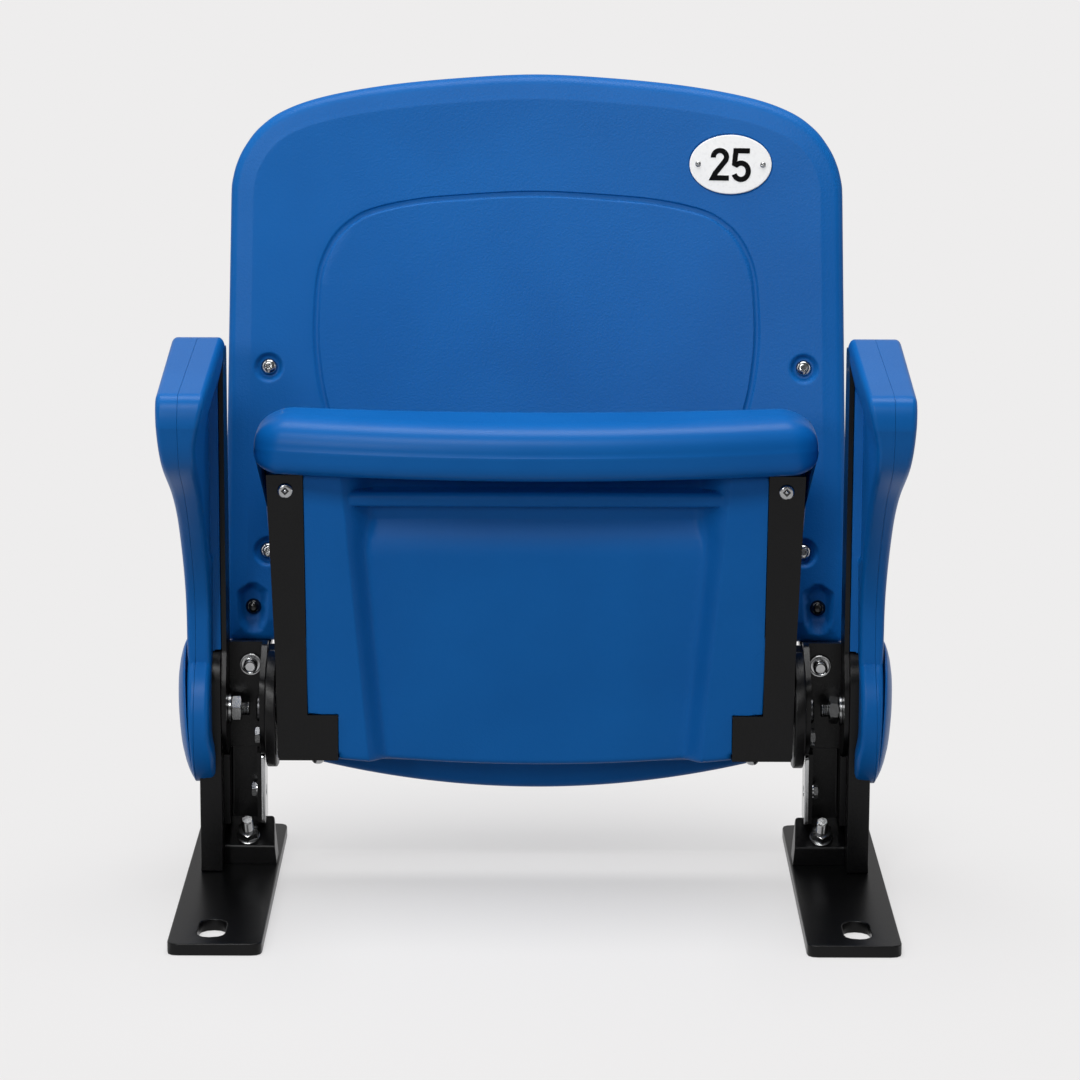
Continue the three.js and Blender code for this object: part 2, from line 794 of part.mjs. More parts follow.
function armBolt(side) {
  const length = armBoltSeatAcross - armNutOuter + armNutThick + armBoltTail;
  const profile = boltProfile(armBoltRadius, length, armBoltHead, armBoltHeadRise);
  return fastener(`${side}_arm_bolt`, 'brightSteel', drawn(profile), at(armBoltSeatAcross, 0, 0), axisX);
}

// Hinge: disc with its arc slot, pin, bush and spring

// Arc slot in which the seat arm's stop pin travels: its two ends are the folded and the open stop.
function stopSlot() {
  const half = stopPinRadius + stopClearance;
  const shut = stopRestAngle;
  const open = stopRestAngle + openAngle;
  const path = new THREE.Path();
  const roundEnd = (angle, start) =>
    path.absarc(stopRadius * Math.cos(angle), stopRadius * Math.sin(angle), half, start, start + Math.PI);
  path.absarc(0, 0, stopRadius + half, shut, open);
  roundEnd(open, open);
  path.absarc(0, 0, stopRadius - half, open, shut, true);
  roundEnd(shut, shut + Math.PI);
  return path.closePath();
}

function hingeDisc(side) {
  const shape = circle(discRadius, wheelSides);
  shape.holes.push(boltCircle(pinRadius));
  shape.holes.push(boltCircle(discBoltRadius, -discBoltFront, -discBoltDrop));
  const round = sideways(extrude(shape, discThick, cornerSteps, discChamfer), discInner);
  const arc = new THREE.Shape(stopSlot().getPoints(cornerSteps));
  const groove = sideways(extrude(arc, discThick + 2 * overrun), discInner - overrun);
  return piece(`${side}_hinge_disc`, 'blackSteel', cut(round, groove));
}

function discBolt(side) {
  const length = bracketWall + discThick;
  const profile = boltProfile(discBoltRadius, length, discBoltHead, discBoltRise);
  const seat = discBoltSeat.clone().add(at(fit, 0, 0));
  return fastener(`${side}_disc_bolt`, 'brightSteel', drawn(profile), seat, axisX);
}

const pinSeat = bracketInner + bracketWall + fit;

function pivotPin(side) {
  const profile = boltProfile(pinRadius, pinSeat - pinEnd, pinHead, pinHeadThick);
  return fastener(`${side}_pivot_pin`, 'darkSteel', drawn(profile), at(pinSeat, 0, 0), axisX);
}

// Flanged bush between pin and seat arm: its sleeve lies in the arm and its flange against the disc.
function hingeBush(side) {
  const bore = boreFor(pinRadius);
  const sleeve = bore + bushWall;
  const flange = bushFlangeThick;
  const inner = -fit - seatArmWall;
  const profile = [
    [bore, inner], [sleeve, inner], [sleeve, 0], [bushFlange, 0], [bushFlange, flange], [bore, flange],
    [bore, inner],
  ];
  return fastener(`${side}_hinge_bush`, 'brightSteel', drawn(profile), at(bushInner, 0, 0), axisX);
}

// Torsion spring round the pin, with a straight tail that bears on the seat arm's face plate.
function torsionSpring(side) {
  const radius = pinRadius + springPlay + springWire;
  const tail = seatArmFront - seatArmPlate - fit;
  const points = [at(springOuter, -tail, radius), at(springOuter, -tail / 2, radius)];
  for (let step = 0; step <= springTurns * springSteps; step += 1) {
    const turns = step / springSteps;
    const angle = turns * 2 * Math.PI;
    points.push(at(springOuter - turns * springPitch, radius * Math.sin(angle), radius * Math.cos(angle)));
  }
  const wire = new THREE.Shape().absarc(0, 0, springWire, 0, 2 * Math.PI);
  const extrudePath = new THREE.CatmullRomCurve3(points);
  const steps = points.length;
  const settings = { steps, extrudePath, curveSegments: springSides / 2, bevelEnabled: false };
  return piece(`${side}_torsion_spring`, 'darkSteel', closed(new THREE.ExtrudeGeometry(wire, settings)));
}

// Seat arms

// Front outline of the face plate and its toe. Grown, it is the clearance that the pan leaves for it.
const seatArmFace = (grow = 0) => rounded([
  [seatArmToe - grow, -seatArmDrop - grow, seatArmCorner],
  [seatArmFootOuter + grow, -seatArmDrop - grow, seatArmCorner],
  [discInner - fit + grow, discRadius],
  [seatArmTopOuter + grow, seatArmRise + grow], [seatArmTopInner - grow, seatArmRise + grow],
  [seatArmFootInner - grow, seatArmToeRise + grow], [seatArmToe - grow, seatArmToeRise + grow],
]);

const seatScrewSeat = at(seatArmTopOuter - seatScrewInset, -seatArmFront, seatArmRise - seatScrewDrop);
const seatFootBoltSeat = at(seatFootBoltAcross, seatFootBoltBack - seatArmFront, -seatArmDrop);

function seatArm(side) {
  const plateBack = seatArmPlate - seatArmFront;
  const wallTop = seatArmRise - seatArmWallShort;
  const face = facing(extrude(seatArmFace(), seatArmPlate), plateBack);
  const wallOutline = rounded([
    [-seatArmFront, -seatArmDrop], [-seatArmHub / 2, -seatArmDrop, seatArmCorner],
    [seatArmHub, -seatArmHub, seatArmHub], [seatArmHub, seatArmHub, seatArmHub],
    [seatArmHub / 2, seatNotchRise - seatArmNeckDrop, seatArmCorner],
    [-seatArmWaist, seatNotchRise + seatArmCorner, seatArmHub],
    [-seatArmWallTip, wallTop, seatArmCorner], [-seatArmFront, wallTop],
  ]);
  const wall = sideways(extrude(wallOutline, seatArmWall, curveSteps), seatArmInner);
  const sole = rectangle([seatArmToe, -seatArmDrop], [seatArmOuter, seatArmPlate - seatArmDrop]);
  const soleBack = -seatPart - seatPartGap;
  const foot = facing(extrude(sole, seatArmFront + soleBack), soleBack);
  const stopY = stopRadius * Math.cos(stopRestAngle);
  const stopPlace = at(seatArmOuter, stopY, stopRadius * Math.sin(stopRestAngle));
  const stopPin = rod(stopPinRadius, -seatArmWall / 2, stopPinReach, stopPlace, axisX);
  const holes = [
    boltHole(boreFor(pinRadius) + bushWall, seatArmWall + overrun, at(seatArmOuter, 0, 0), axisX),
    boltHole(seatScrewRadius, seatArmPlate + overrun, seatScrewSeat, forward),
    boltHole(seatScrewRadius, seatArmPlate + overrun, seatFootBoltSeat, down),
  ];
  return piece(`${side}_seat_arm`, 'blackSteel', cut(join(face, wall, foot, stopPin), ...holes));
}

function seatArmScrew(side) {
  const profile = boltProfile(seatScrewRadius, seatScrewLength, seatScrewHead, seatScrewHeadRise);
  const seat = seatScrewSeat.clone().addScaledVector(forward, fit);
  return fastener(`${side}_seat_arm_screw`, 'brightSteel', drawn(profile), seat, forward);
}

function seatFootBolt(side) {
  const profile = boltProfile(seatScrewRadius, seatScrewLength, seatFootBoltHead, seatFootBoltRise);
  const seat = seatFootBoltSeat.clone().addScaledVector(down, fit);
  return fastener(`${side}_seat_foot_bolt`, 'darkSteel', drawn(profile), seat, down);
}

// Seat shells

// The rolled front lip, ring by ring across the seat. Towards the middle its nose bulges forward and its
// crown dips, and at its ends the section shrinks towards its core.
function frontLip() {
  const side = rounded([
    [seatRear, lipDrop], [seatRear, lipRise, lipCrown], [-lipFront, lipRise, lipNose],
    [-lipFront, lipDrop, lipHem],
  ]).getPoints(curveSteps).slice(1);
  const core = new THREE.Vector2(-lipCoreFront, lipDrop + lipCoreShare * lipHeight);
  const ring = ([across, size]) => side.map((point) => {
    const { x: y, y: z } = point.clone().sub(core).multiplyScalar(size).add(core);
    const bulge = 1 - across ** 2;
    const bow = (lipBow * bulge * (seatRear - y)) / (seatRear + lipFront);
    const dip = (lipDip * bulge * (z - lipDrop)) / lipHeight;
    return at(across * lipHalf, y - bow, z - dip);
  });
  const left = lipStationShares.slice(1).reverse().map(([across, size]) => [-across, size]);
  return loft([...left, ...lipStationShares].map(ring));
}

function seatTop() {
  const slab = rounded([[0, -seatDrop - seatBow, seatNotchHalf], ...bothSides([
    [seatNotchHalf, -seatDrop, seatCorner], [seatNotchHalf, seatNotchRise, seatCorner],
    [bracketInner - seatLowInset, seatNotchRise, seatCorner],
    [seatHalfHigh, lipDrop - seatCorner, seatCorner], [seatHalfHigh, (lipDrop + lipRise) / 2, lipNose],
  ])]);
  const hollow = new THREE.SphereGeometry(1, wheelSides, wheelSides / 2);
  hollow.scale(seatHalfHigh - dishInset, dishDepth, dishRise).translate(0, seatRear, dishCentre);
  const body = join(facing(extrude(slab, seatRear + seatPart), seatRear), frontLip());
  return piece('seat_top', 'bluePlastic', cut(body, hollow));
}

// The pan's long recess narrows downwards and inwards, and a deeper slot with a cross rib closes its top.
function seatPan() {
  const back = -seatPart - fit;
  const outline = rounded([[0, -seatArmDrop - panBow, seatNotchHalf], ...bothSides([
    [seatArmToe - fit, -seatArmDrop], [seatArmToe - fit, seatArmPlate - seatArmDrop + fit],
    [seatNotchHalf, seatArmPlate - seatArmDrop + fit], [seatNotchHalf, seatNotchRise, seatCorner],
    [panHalf, seatNotchRise, seatCorner], [panHalf, panRise],
  ])]);
  const blank = facing(extrude(outline, panFront - seatPart - fit), back);
  const low = -seatArmDrop - panBow - overrun;
  const high = panRise + overrun;
  const share = (z) => THREE.MathUtils.inverseLerp(-seatArmDrop - panBow, panRise, z);
  const halfAt = (z) => bracketInner - THREE.MathUtils.lerp(recessInsetLow, recessInsetHigh, share(z));
  const mouth = (z) => halfAt(z) + overrun * (recessSlope / recessDepth);
  const floor = (z) => halfAt(z) - recessSlope;
  const front = -panFront - overrun;
  const seams = creaseRise + seatCorner;
  const recess = taper(
    bothSides([[mouth(low), low], [mouth(seams), seams]]), front,
    bothSides([[floor(low), low], [floor(seams), seams]]), -recessFloor,
  );
  const slope = (slotRise - creaseRise) / (recessFloor - slotFloor);
  const slotMouth = creaseRise - (panFront + overrun - recessFloor) * slope;
  const deep = taper(
    bothSides([[mouth(slotMouth), slotMouth], [mouth(high), high]]), front,
    bothSides([[floor(slotRise), slotRise], [floor(high), high]]), -slotFloor,
  );
  const ribHalf = bracketInner - recessInsetHigh + ribBury;
  const ribBack = overrun - slotFloor;
  const ribFront = ribSetback - panFront;
  const ribSide = rounded([
    [ribBack, ribLow], [ribBack, ribHigh], [ribFront, ribHigh, ribRound], [ribFront, ribLow, ribRound],
  ]);
  const rib = sideways(extrude(ribSide, 2 * ribHalf), -ribHalf);
  const clearances = [];
  const plateBack = seatArmPlate + fit - seatArmFront;
  for (const hand of [1, -1]) {
    const plate = facing(extrude(seatArmFace(fit), seatArmPlate + fit + overrun), plateBack);
    const shank = boltHole(seatScrewRadius, seatScrewLength, seatScrewSeat, forward);
    const footShank = boltHole(seatScrewRadius, seatScrewLength, seatFootBoltSeat, down);
    clearances.push(...[plate, shank, footShank].map((body) => body.scale(hand, 1, 1)));
  }
  return piece('seat_pan', 'bluePlastic', cut(join(cut(blank, recess, deep), rib), ...clearances));
}

// Back shell

// How far the back's front face lies behind the hinge axis: it leans back above its knee and wraps forward
// towards its sides.
function backFace(x, z) {
  const past = z - backLeanStart;
  const lean = (backLeanShare * (Math.hypot(past, backLeanSoft) + past)) / 2;
  const high = THREE.MathUtils.smoothstep(z, -backLeanSoft, 2 * backLeanSoft);
  const wrap = backWrap * THREE.MathUtils.lerp(backWrapLowShare, 1, high) * (x / backHalf) ** 2;
  return backSetback + lean - wrap;
}

// Direction in which the back's front face looks at a place, measured across a bolt dish.
function faceLook(x, z) {
  const step = dishedRadius;
  const slopeX = (backFace(x + step, z) - backFace(x - step, z)) / (2 * step);
  const slopeZ = (backFace(x, z + step) - backFace(x, z - step)) / (2 * step);
  return at(slopeX, -1, slopeZ).normalize();
}

// The back's bolts lie square to it in the side view and level across it.
const backLook = (z) => faceLook(0, z);

// Points of an (x, z) line at a depth behind the back's front face.
const onBack = (line, depth) => line.map(({ x, y }) => at(x, backFace(x, y) + depth, y));

// The right half of a closed line, bottom to top, with its mirror image, top to bottom.
const mirroredLine = (half) => {
  const other = half.slice(1, -1).reverse();
  return [...half, ...other.map(({ x, y }) => new THREE.Vector2(-x, y))];
};

// A closed line with every point moved inwards.
const insetLine = (line, distance) => line.map((point, index) => {
  const along = line[(index + 1) % line.length].clone().sub(line.at(index - 1)).normalize();
  return point.clone().add(new THREE.Vector2(-along.y, along.x).multiplyScalar(distance));
});

function backOutline() {
  const path = new THREE.Path();
  const foot = backFootHalf - backFootRound;
  path.moveTo(0, -backDrop);
  path.quadraticCurveTo(foot / 2, -backDrop, foot, -backFootEdge);
  path.quadraticCurveTo(backFootHalf, -backFootEdge, backFootHalf, backFootRound - backFootEdge);
  path.lineTo(backFootHalf, backShoulder - backShoulderFillet);
  path.quadraticCurveTo(backFootHalf, backShoulder, backFootHalf + backShoulderFillet, backShoulder);
  path.lineTo(backHalf - backLobeRound, backShoulder);
  path.quadraticCurveTo(backHalf, backShoulder, backHalf, backShoulder + backLobeRound);
  const sideStart = backShoulder + backLobeRound;
  for (let step = 1; step <= backSideSteps; step += 1) {
    const share = step / backSideSteps;
    path.lineTo(backHalf - share * backTaper, THREE.MathUtils.lerp(sideStart, backSideRise, share));
  }
  const side = path.getPoints(cornerSteps);
  const crown = ([x, z]) => new THREE.Vector2(x * backHalf, THREE.MathUtils.lerp(backSideRise, backRise, z));
  const top = new THREE.SplineCurve([side.at(-1), ...backTopShares.map(crown)]).getPoints(backTopSteps);
  return mirroredLine([...side, ...top.slice(1)]);
}

// Cutter for the shallow channel round the back's middle panel.
function panelGroove() {
  const place = ([x, z]) => new THREE.Vector2(x * panelHalf, THREE.MathUtils.lerp(panelFoot, panelTop, z));
  const outer = mirroredLine(new THREE.SplineCurve(panelShares.map(place)).getPoints(panelSteps));
  const inner = insetLine(outer, grooveWidth);
  return hoop([
    onBack(outer, grooveDepth), onBack(outer, -overrun), onBack(inner, -overrun), onBack(inner, grooveDepth),
  ]);
}

function backShell() {
  const outline = backOutline();
  const inset = (distance) => insetLine(outline, distance);
  const centre = new THREE.Vector2(0, (backRise - backDrop) / 2);
  const shrink = (point, share) => point.sub(centre).multiplyScalar(share).add(centre);
  const shrunk = (share) => inset(backRim).map((point) => shrink(point, share));
  const rimRings = rimShares.map(([width, depth]) => onBack(inset(width * backRim), depth * backRimDepth));
  const rearDepth = backThick - backRimDepth;
  const rearRing = ([width, depth]) => onBack(inset(width * backRim), backThick - depth * rearDepth);
  const rearRings = rearRimShares.map(rearRing);
  const shell = loft([
    ...backRingShares.map((share) => onBack(shrunk(share), 0)), ...rimRings.toReversed(),
    ...rearRings, ...backRingShares.toReversed().map((share) => onBack(shrunk(share), backThick)),
  ]);
  const bodies = [];
  const holes = [];
  for (const hand of [1, -1]) {
    backBolts.forEach(({ across, rise, lower }) => {
      const seat = backSeat(across, rise, lower);
      const look = backLook(rise);
      const reach = boltReach(seat, look) - fit;
      const boss = rod(bossRadius, -reach, -backThick / 2, seat, look, boltSides);
      bodies.push(boss.scale(hand, 1, 1));
      const hole = boltHole(backBoltRadius, 2 * backThick, seat, look);
      const pocket = lower ? lowerPocket(seat, look) : dishedPocket(seat, look);
      holes.push(hole.scale(hand, 1, 1), pocket.scale(hand, 1, 1));
    });
  }
  const rivets = [-1, 1].map((end) => numberScrewPlace(end));
  const rivetHoles = rivets.map((seat) => boltHole(numberScrewRadius, numberScrewLength, seat, numberLook));
  holes.push(numberBody(fit, numberThick + overrun, 0), ...rivetHoles, panelGroove());
  return piece('back_shell', 'bluePlastic', cut(join(shell, ...bodies), ...holes));
}

// Back bolts

const backBolts = [
  { name: 'upper', across: backBoltAcross, rise: upperBoltRise, lower: false, finish: 'brightSteel' },
  { name: 'middle', across: backBoltAcross, rise: middleBoltRise, lower: false, finish: 'brightSteel' },
  { name: 'lower', across: lowerBoltAcross, rise: lowerBoltRise, lower: true, finish: 'darkSteel' },
];

function backSeat(across, rise, lower) {
  return at(across, backFace(across, rise) + (lower ? lowerPocketDepth : dishedDepth), rise);
}

// A pocket that widens from its floor to its mouth.
function pocket(floor, mouth, depth, seat, look, sides) {
  const top = depth + overrun;
  return turned([[0, 0], [floor, 0], [mouth, depth], [mouth, top], [0, top]], seat, look, sides);
}

const dishedPocket = (seat, look) => pocket(dishedFloor, dishedRadius, dishedDepth, seat, look, roundSides);
const lowerPocket = (seat, look) =>
  pocket(lowerPocketHalf * lowerPocketFloorShare, lowerPocketHalf, lowerPocketDepth, seat, look, 6);

function backBolt(side, { name, across, rise, lower, finish }) {
  const look = backLook(rise);
  const seat = backSeat(across, rise, lower);
  const length = boltReach(seat, look) + strapPlate + weldNutThick;
  const profile = boltProfile(backBoltRadius, length, backBoltHead, backBoltHeadRise);
  return fastener(`${side}_back_bolt_${name}`, finish, drawn(profile), seat.addScaledVector(look, fit), look);
}

// Strap that carries the back

const shellRear = (z) => backFace(strapInner, z) + backThick;
const strapFace = (z) => shellRear(z) + strapPlay;
const strapReach = strapFace(backRise);

// Distance from a back bolt's seat to the strap behind it, along the bolt.
const boltReach = (seat, look) => (seat.y - strapFace(seat.z)) * look.y;

// Side outline of the strap: up the bracket's web, back under the shell's lobe, then up behind the shell.
function backStrap(side) {
  const foot = webBack + fit;
  const top = upperBoltRise + strapTail;
  const shelfTop = strapShelf + fit;
  const ahead = [];
  for (let step = 0; step <= strapSteps; step += 1) {
    const z = THREE.MathUtils.lerp(shelfTop + strapTail, top, step / strapSteps);
    ahead.push([strapFace(z), z]);
  }
  const behind = ahead.map(([y, z]) => [y + strapPlate, z]);
  const elbow = strapFace(shelfTop);
  const outline = rounded([
    [foot, strapFoot], [foot + strapPlate, strapFoot], [foot + strapPlate, shelfTop - strapPlate, strapBend],
    [elbow + strapPlate, shelfTop - strapPlate, strapBend + strapPlate], ...behind, ...ahead.toReversed(),
    [elbow, shelfTop, strapBend], [foot, shelfTop, strapBend + strapPlate],
  ]);
  const shiftEnd = strapShift + strapShiftLength;
  const front = rounded([
    [strapFootInner, 0], [strapFootOuter, 0], [strapFootOuter, strapShift], [strapOuter, shiftEnd],
    [strapOuter, top, strapBend], [strapInner, top, strapBend], [strapInner, strapShift],
    [strapFootInner, shelfTop],
  ]);
  const band = common(
    sideways(extrude(outline, strapFootOuter), 0),
    facing(extrude(front, strapReach), strapReach),
  );
  const nuts = [];
  const holes = [];
  backBolts.forEach(({ across, rise, lower }) => {
    const look = backLook(rise);
    const seat = backSeat(across, rise, lower);
    const length = boltReach(seat, look) + strapPlate + weldNutThick;
    nuts.push(rod(weldNutAcross / 2, -length, weldNutThick + strapPlate / 2 - length, seat, look, 6));
    holes.push(boltHole(backBoltRadius, length, seat, look));
  });
  const place = at(bracketBoltSeat.x, foot + strapPlate / 2, bracketBoltSeat.z);
  nuts.push(rod(weldNutAcross / 2 + fit + overrun, -weldNutThick - strapPlate / 2, 0, place, forward, 6));
  holes.push(rod(bracketBoltRadius + fit, -2 * strapPlate - weldNutThick, backThick, place, forward));
  return piece(`${side}_back_strap`, 'blackSteel', cut(join(band, ...nuts), ...holes));
}

// Number plate: an oval disc let into the upper right of the back

const numberCentre = at(numberAcross, backFace(numberAcross, numberRise), numberRise);
const numberLook = faceLook(numberAcross, numberRise);
const numberTurn = new THREE.Quaternion().setFromRotationMatrix(
  new THREE.Matrix4().lookAt(numberLook, at(0, 0, 0), axisZ),
);
const numberFloor = numberCentre.addScaledVector(numberLook, -numberSink);

function numberOutline(grow) {
  return new THREE.Shape().absellipse(0, 0, numberHalfWidth + grow, numberHalfHeight + grow, 0, 2 * Math.PI);
}

// The plate's body, or with growth the seat that is cut for it. Its floor lies under the face of the back.
function numberBody(grow, depth, lift) {
  const oval = extrude(numberOutline(grow), depth, 2 * curveSteps).translate(0, 0, lift);
  return oval.applyQuaternion(numberTurn).translate(...numberFloor);
}

function numberScrewPlace(end) {
  const offset = at(end * (numberHalfWidth - numberScrewInset), 0, fit + numberThick);
  return offset.applyQuaternion(numberTurn).add(numberFloor);
}

function numberPlate() {
  const hole = (end) => boltHole(numberScrewRadius, 2 * numberThick, numberScrewPlace(end), numberLook);
  return piece('number_plate', 'whitePlate', cut(numberBody(0, numberThick, fit), hole(-1), hole(1)));
}

function numberScrew(name, end) {
  const profile = boltProfile(numberScrewRadius, numberScrewLength, numberScrewHead, numberScrewHeadRise);
  const seat = numberScrewPlace(end).addScaledVector(numberLook, fit);
  return fastener(name, 'brightSteel', drawn(profile), seat, numberLook);
}

// Armrests

function armOutline() {
  const shape = new THREE.Shape();
  shape.moveTo(armRear, armRise - armRearRound);
  shape.quadraticCurveTo(armRear, armRise, armRear - armRearRound, armRise);
  shape.lineTo(-armKnee, armRise - armFall);
  shape.quadraticCurveTo(-armReach, armRise - armFall, -armReach, armNose);
  shape.splineThru(armFrontShares.map(([y, z]) => new THREE.Vector2(-y * armReach, z * armRise)));
  const foot = -Math.PI / 2;
  shape.absarc(0, 0, armDisc, armNeckAngle, foot);
  shape.absarc(0, 0, armDisc, foot, Math.acos(armRear / armDisc));
  return shape.closePath();
}

// Cuts the armrest's side outline to an (x, z) outline seen from the front.
function armShell(frontCorners) {
  const blank = sideways(extrude(armOutline(), armOuterTop, curveSteps), 0);
  const front = facing(extrude(rounded(frontCorners), 2 * armReach), armReach);
  return common(blank, front);
}

const armTopEdge = armSideShares.top * armRise;
const armFootEdge = armSideShares.foot * armRise;

function armOuter(side) {
  const shell = armShell([
    [armSeamFoot + fit, armFootEdge], [armOuterNeck, armFootEdge],
    [armOuterNeck, armSideShares.hip * armRise, armSideRound],
    [armOuterTop, armSideShares.shoulder * armRise, armSideRound], [armOuterTop, armTopEdge],
    [armSeamTop + fit, armTopEdge],
  ]);
  const head = rod(armBoltHead + fit, -overrun, armOuterTop, at(armSeamFoot, 0, 0), axisX);
  return piece(`${side}_arm_outer_shell`, 'bluePlastic', cut(shell, head));
}

function armInner(side) {
  const level = (key) => armInnerShares[key] * armRise;
  const shell = armShell([
    [armInnerHem, armFootEdge], [armSeamFoot, armFootEdge], [armSeamTop, armTopEdge],
    [armInnerTop, armTopEdge], [armInnerTop, level('flange'), armFlangeRound],
    [armInnerMiddle, level('shoulder'), armFlangeRound],
    [armInnerNeck, level('neck'), armSideRound], [armInnerNeck, level('disc')], [armInnerHem, level('hem')],
  ]);
  const web = rounded(armWebShares.map(([y, z]) => [-y * armReach, z * armRise, armWebRound]));
  const ribInner = bracketOuter + 2 * fit;
  const ribFoot = [-postFront - armRibFrontGap, bracketRise - armRibLap];
  const ribSide = rectangle(ribFoot, [armRear, armRise - armRibDrop]);
  const rib = sideways(extrude(ribSide, armInnerNeck + overrun - ribInner), ribInner);
  const postSlot = rectangle([-postFront - fit, 0], [armRear + overrun, postRise + fit]);
  const cuts = [
    sideways(extrude(web, bracketOuter + armWebOutset), 0),
    sideways(extrude(postSlot, bracketOuter + fit), 0),
    sideways(extrude(legOutline(-armDisc - overrun, 0, fit), legInner + legThick + fit, curveSteps), 0),
    rod(armBoltRadius + fit, -armSeamFoot, overrun, at(armSeamFoot, 0, 0), axisX),
  ];
  return piece(`${side}_arm_inner_shell`, 'bluePlastic', cut(join(shell, rib), ...cuts));
}

function armCap(side) {
  const dome = capShares.map(([radius, height]) => [radius * capRadius, height * capBulge]);
  const profile = [
    [capHole, capRecessDepth], [capRecess, capRecessDepth], [capRecess, 0], ...dome, [capHole, capBulge],
    [capHole, capRecessDepth],
  ];
  const cap = turned(profile, at(0, 0, 0), axisY, wheelSides);
  return fastener(`${side}_arm_cap`, 'bluePlastic', cap, at(armOuterNeck + fit, 0, 0), axisX);
}

// Assembly

const standPieces = [footPlate, legBar, footLug, footBolt, column, columnStrap, columnBolt];
const upperPieces = [
  hingeBracket, bracketBolt, armWasher, armNut, armBolt, hingeDisc, discBolt, pivotPin, hingeBush,
  torsionSpring, seatArm, seatArmScrew, seatFootBolt, backStrap, armOuter, armInner, armCap,
];

const seat = new THREE.Group();
for (const [side, hand] of [['left', -1], ['right', 1]]) {
  const stand = new THREE.Group();
  const upper = new THREE.Group();
  standPieces.forEach((make) => stand.add(make(side)));
  upperPieces.forEach((make) => upper.add(make(side)));
  backBolts.forEach((bolt) => upper.add(backBolt(side, bolt)));
  upper.position.z = hingeHeight;
  const half = new THREE.Group().add(stand, upper);
  half.scale.x = hand;
  seat.add(half);
}

const middle = new THREE.Group();
middle.position.z = hingeHeight;
middle.add(seatTop(), seatPan(), backShell(), numberPlate());
middle.add(numberScrew('number_screw_left', -1), numberScrew('number_screw_right', 1));
seat.add(middle);

// The origin is on the floor under the middle of the whole seat.
const extent = new THREE.Box3().setFromObject(seat, true);
seat.position.y = -(extent.min.y + extent.max.y) / 2;

export default seat;
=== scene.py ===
"""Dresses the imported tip-up stadium seat and sets up its camera, floor and lights.

Lengths are millimetres from the hinge axis, X across, -Y forward, Z up, until they become meshes.
"""

import json
import math

import bpy
import bmesh
import numpy as np
from mathutils import Matrix, Vector, geometry, kdtree


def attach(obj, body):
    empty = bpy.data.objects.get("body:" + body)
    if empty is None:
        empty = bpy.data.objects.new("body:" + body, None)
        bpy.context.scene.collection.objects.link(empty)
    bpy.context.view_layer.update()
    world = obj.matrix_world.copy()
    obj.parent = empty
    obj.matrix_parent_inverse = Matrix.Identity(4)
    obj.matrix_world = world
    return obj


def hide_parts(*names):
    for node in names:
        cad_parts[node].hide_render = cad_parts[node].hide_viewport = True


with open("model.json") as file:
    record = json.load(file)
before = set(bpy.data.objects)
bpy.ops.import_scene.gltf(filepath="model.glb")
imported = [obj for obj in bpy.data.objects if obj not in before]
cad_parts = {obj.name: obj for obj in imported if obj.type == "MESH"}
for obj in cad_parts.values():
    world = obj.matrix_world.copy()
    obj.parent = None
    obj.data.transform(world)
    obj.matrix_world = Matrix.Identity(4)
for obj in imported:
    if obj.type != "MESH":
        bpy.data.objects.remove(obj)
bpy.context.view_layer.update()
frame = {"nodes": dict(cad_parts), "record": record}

AXLE = 1000 * np.array(frame["record"]["behaviour"]["joints"][0]["pos_m"])
SIDES = (("left", -1), ("right", 1))

# Sizes shared with the solids

BACK_HALF, BACK_TAPER, BACK_FOOT_HALF, BACK_DROP, BACK_FOOT_EDGE = 268, 4, 206, 88, 65.5
BACK_SHOULDER, BACK_SIDE_RISE, BACK_RISE, BACK_THICK = 44.2, 421.5, 521, 22
BACK_TOP_SHARES = [(0.9825, 0.1), (0.969, 0.25), (0.9425, 0.4), (0.895, 0.56), (0.818, 0.7), (0.69, 0.815),
                   (0.485, 0.91), (0.235, 0.972)]
FOOT_ROUND, NECK_ROUND, LOBE_ROUND = 22, 6, 9
RIM, RIM_DEPTH, RIM_SLOPE, RIM_ROUND, REAR_ROUND = 20, 11, 1.9, 8.5, 14
BOLTS = {"upper": (230.5, 276.8), "middle": (230.5, 122.6), "lower": (243.3, 74.5)}
NUMBER_ACROSS, NUMBER_RISE, NUMBER_HALF, PLATE_PROUD = 167.3, 447.5, (35.5, 25.7), 1


# Outlines

def unit(vectors):
    return vectors / np.linalg.norm(vectors, axis=-1, keepdims=True)


def row(across, height):
    """Points of a level line."""
    return np.column_stack([across, np.full(len(across), height)])


def curve(start, control, end, count):
    """Points of a quadratic curve after its start."""
    t = np.linspace(0, 1, count + 1)[1:, None]
    start, control, end = (np.array(p, float) for p in (start, control, end))
    return (1 - t) ** 2 * start + 2 * t * (1 - t) * control + t ** 2 * end


def arc(centre, radii, first, last, count):
    turn = np.radians(np.linspace(first, last, count))
    return np.column_stack([centre[0] + radii[0] * np.cos(turn), centre[1] + radii[1] * np.sin(turn)])


def spline(points, count):
    """A smooth open curve through points."""
    p = np.array(points, float)
    p = np.vstack([2 * p[0] - p[1], p, 2 * p[-1] - p[-2]])
    t = np.linspace(0, 1, count, endpoint=False)[:, None]
    spans = []
    for a, b, c, d in zip(p, p[1:], p[2:], p[3:]):
        spans.append(0.5 * (2 * b + (c - a) * t + (2 * a - 5 * b + 4 * c - d) * t ** 2
                            + (3 * b - a - 3 * c + d) * t ** 3))
    return np.vstack(spans + [p[-2:-1]])


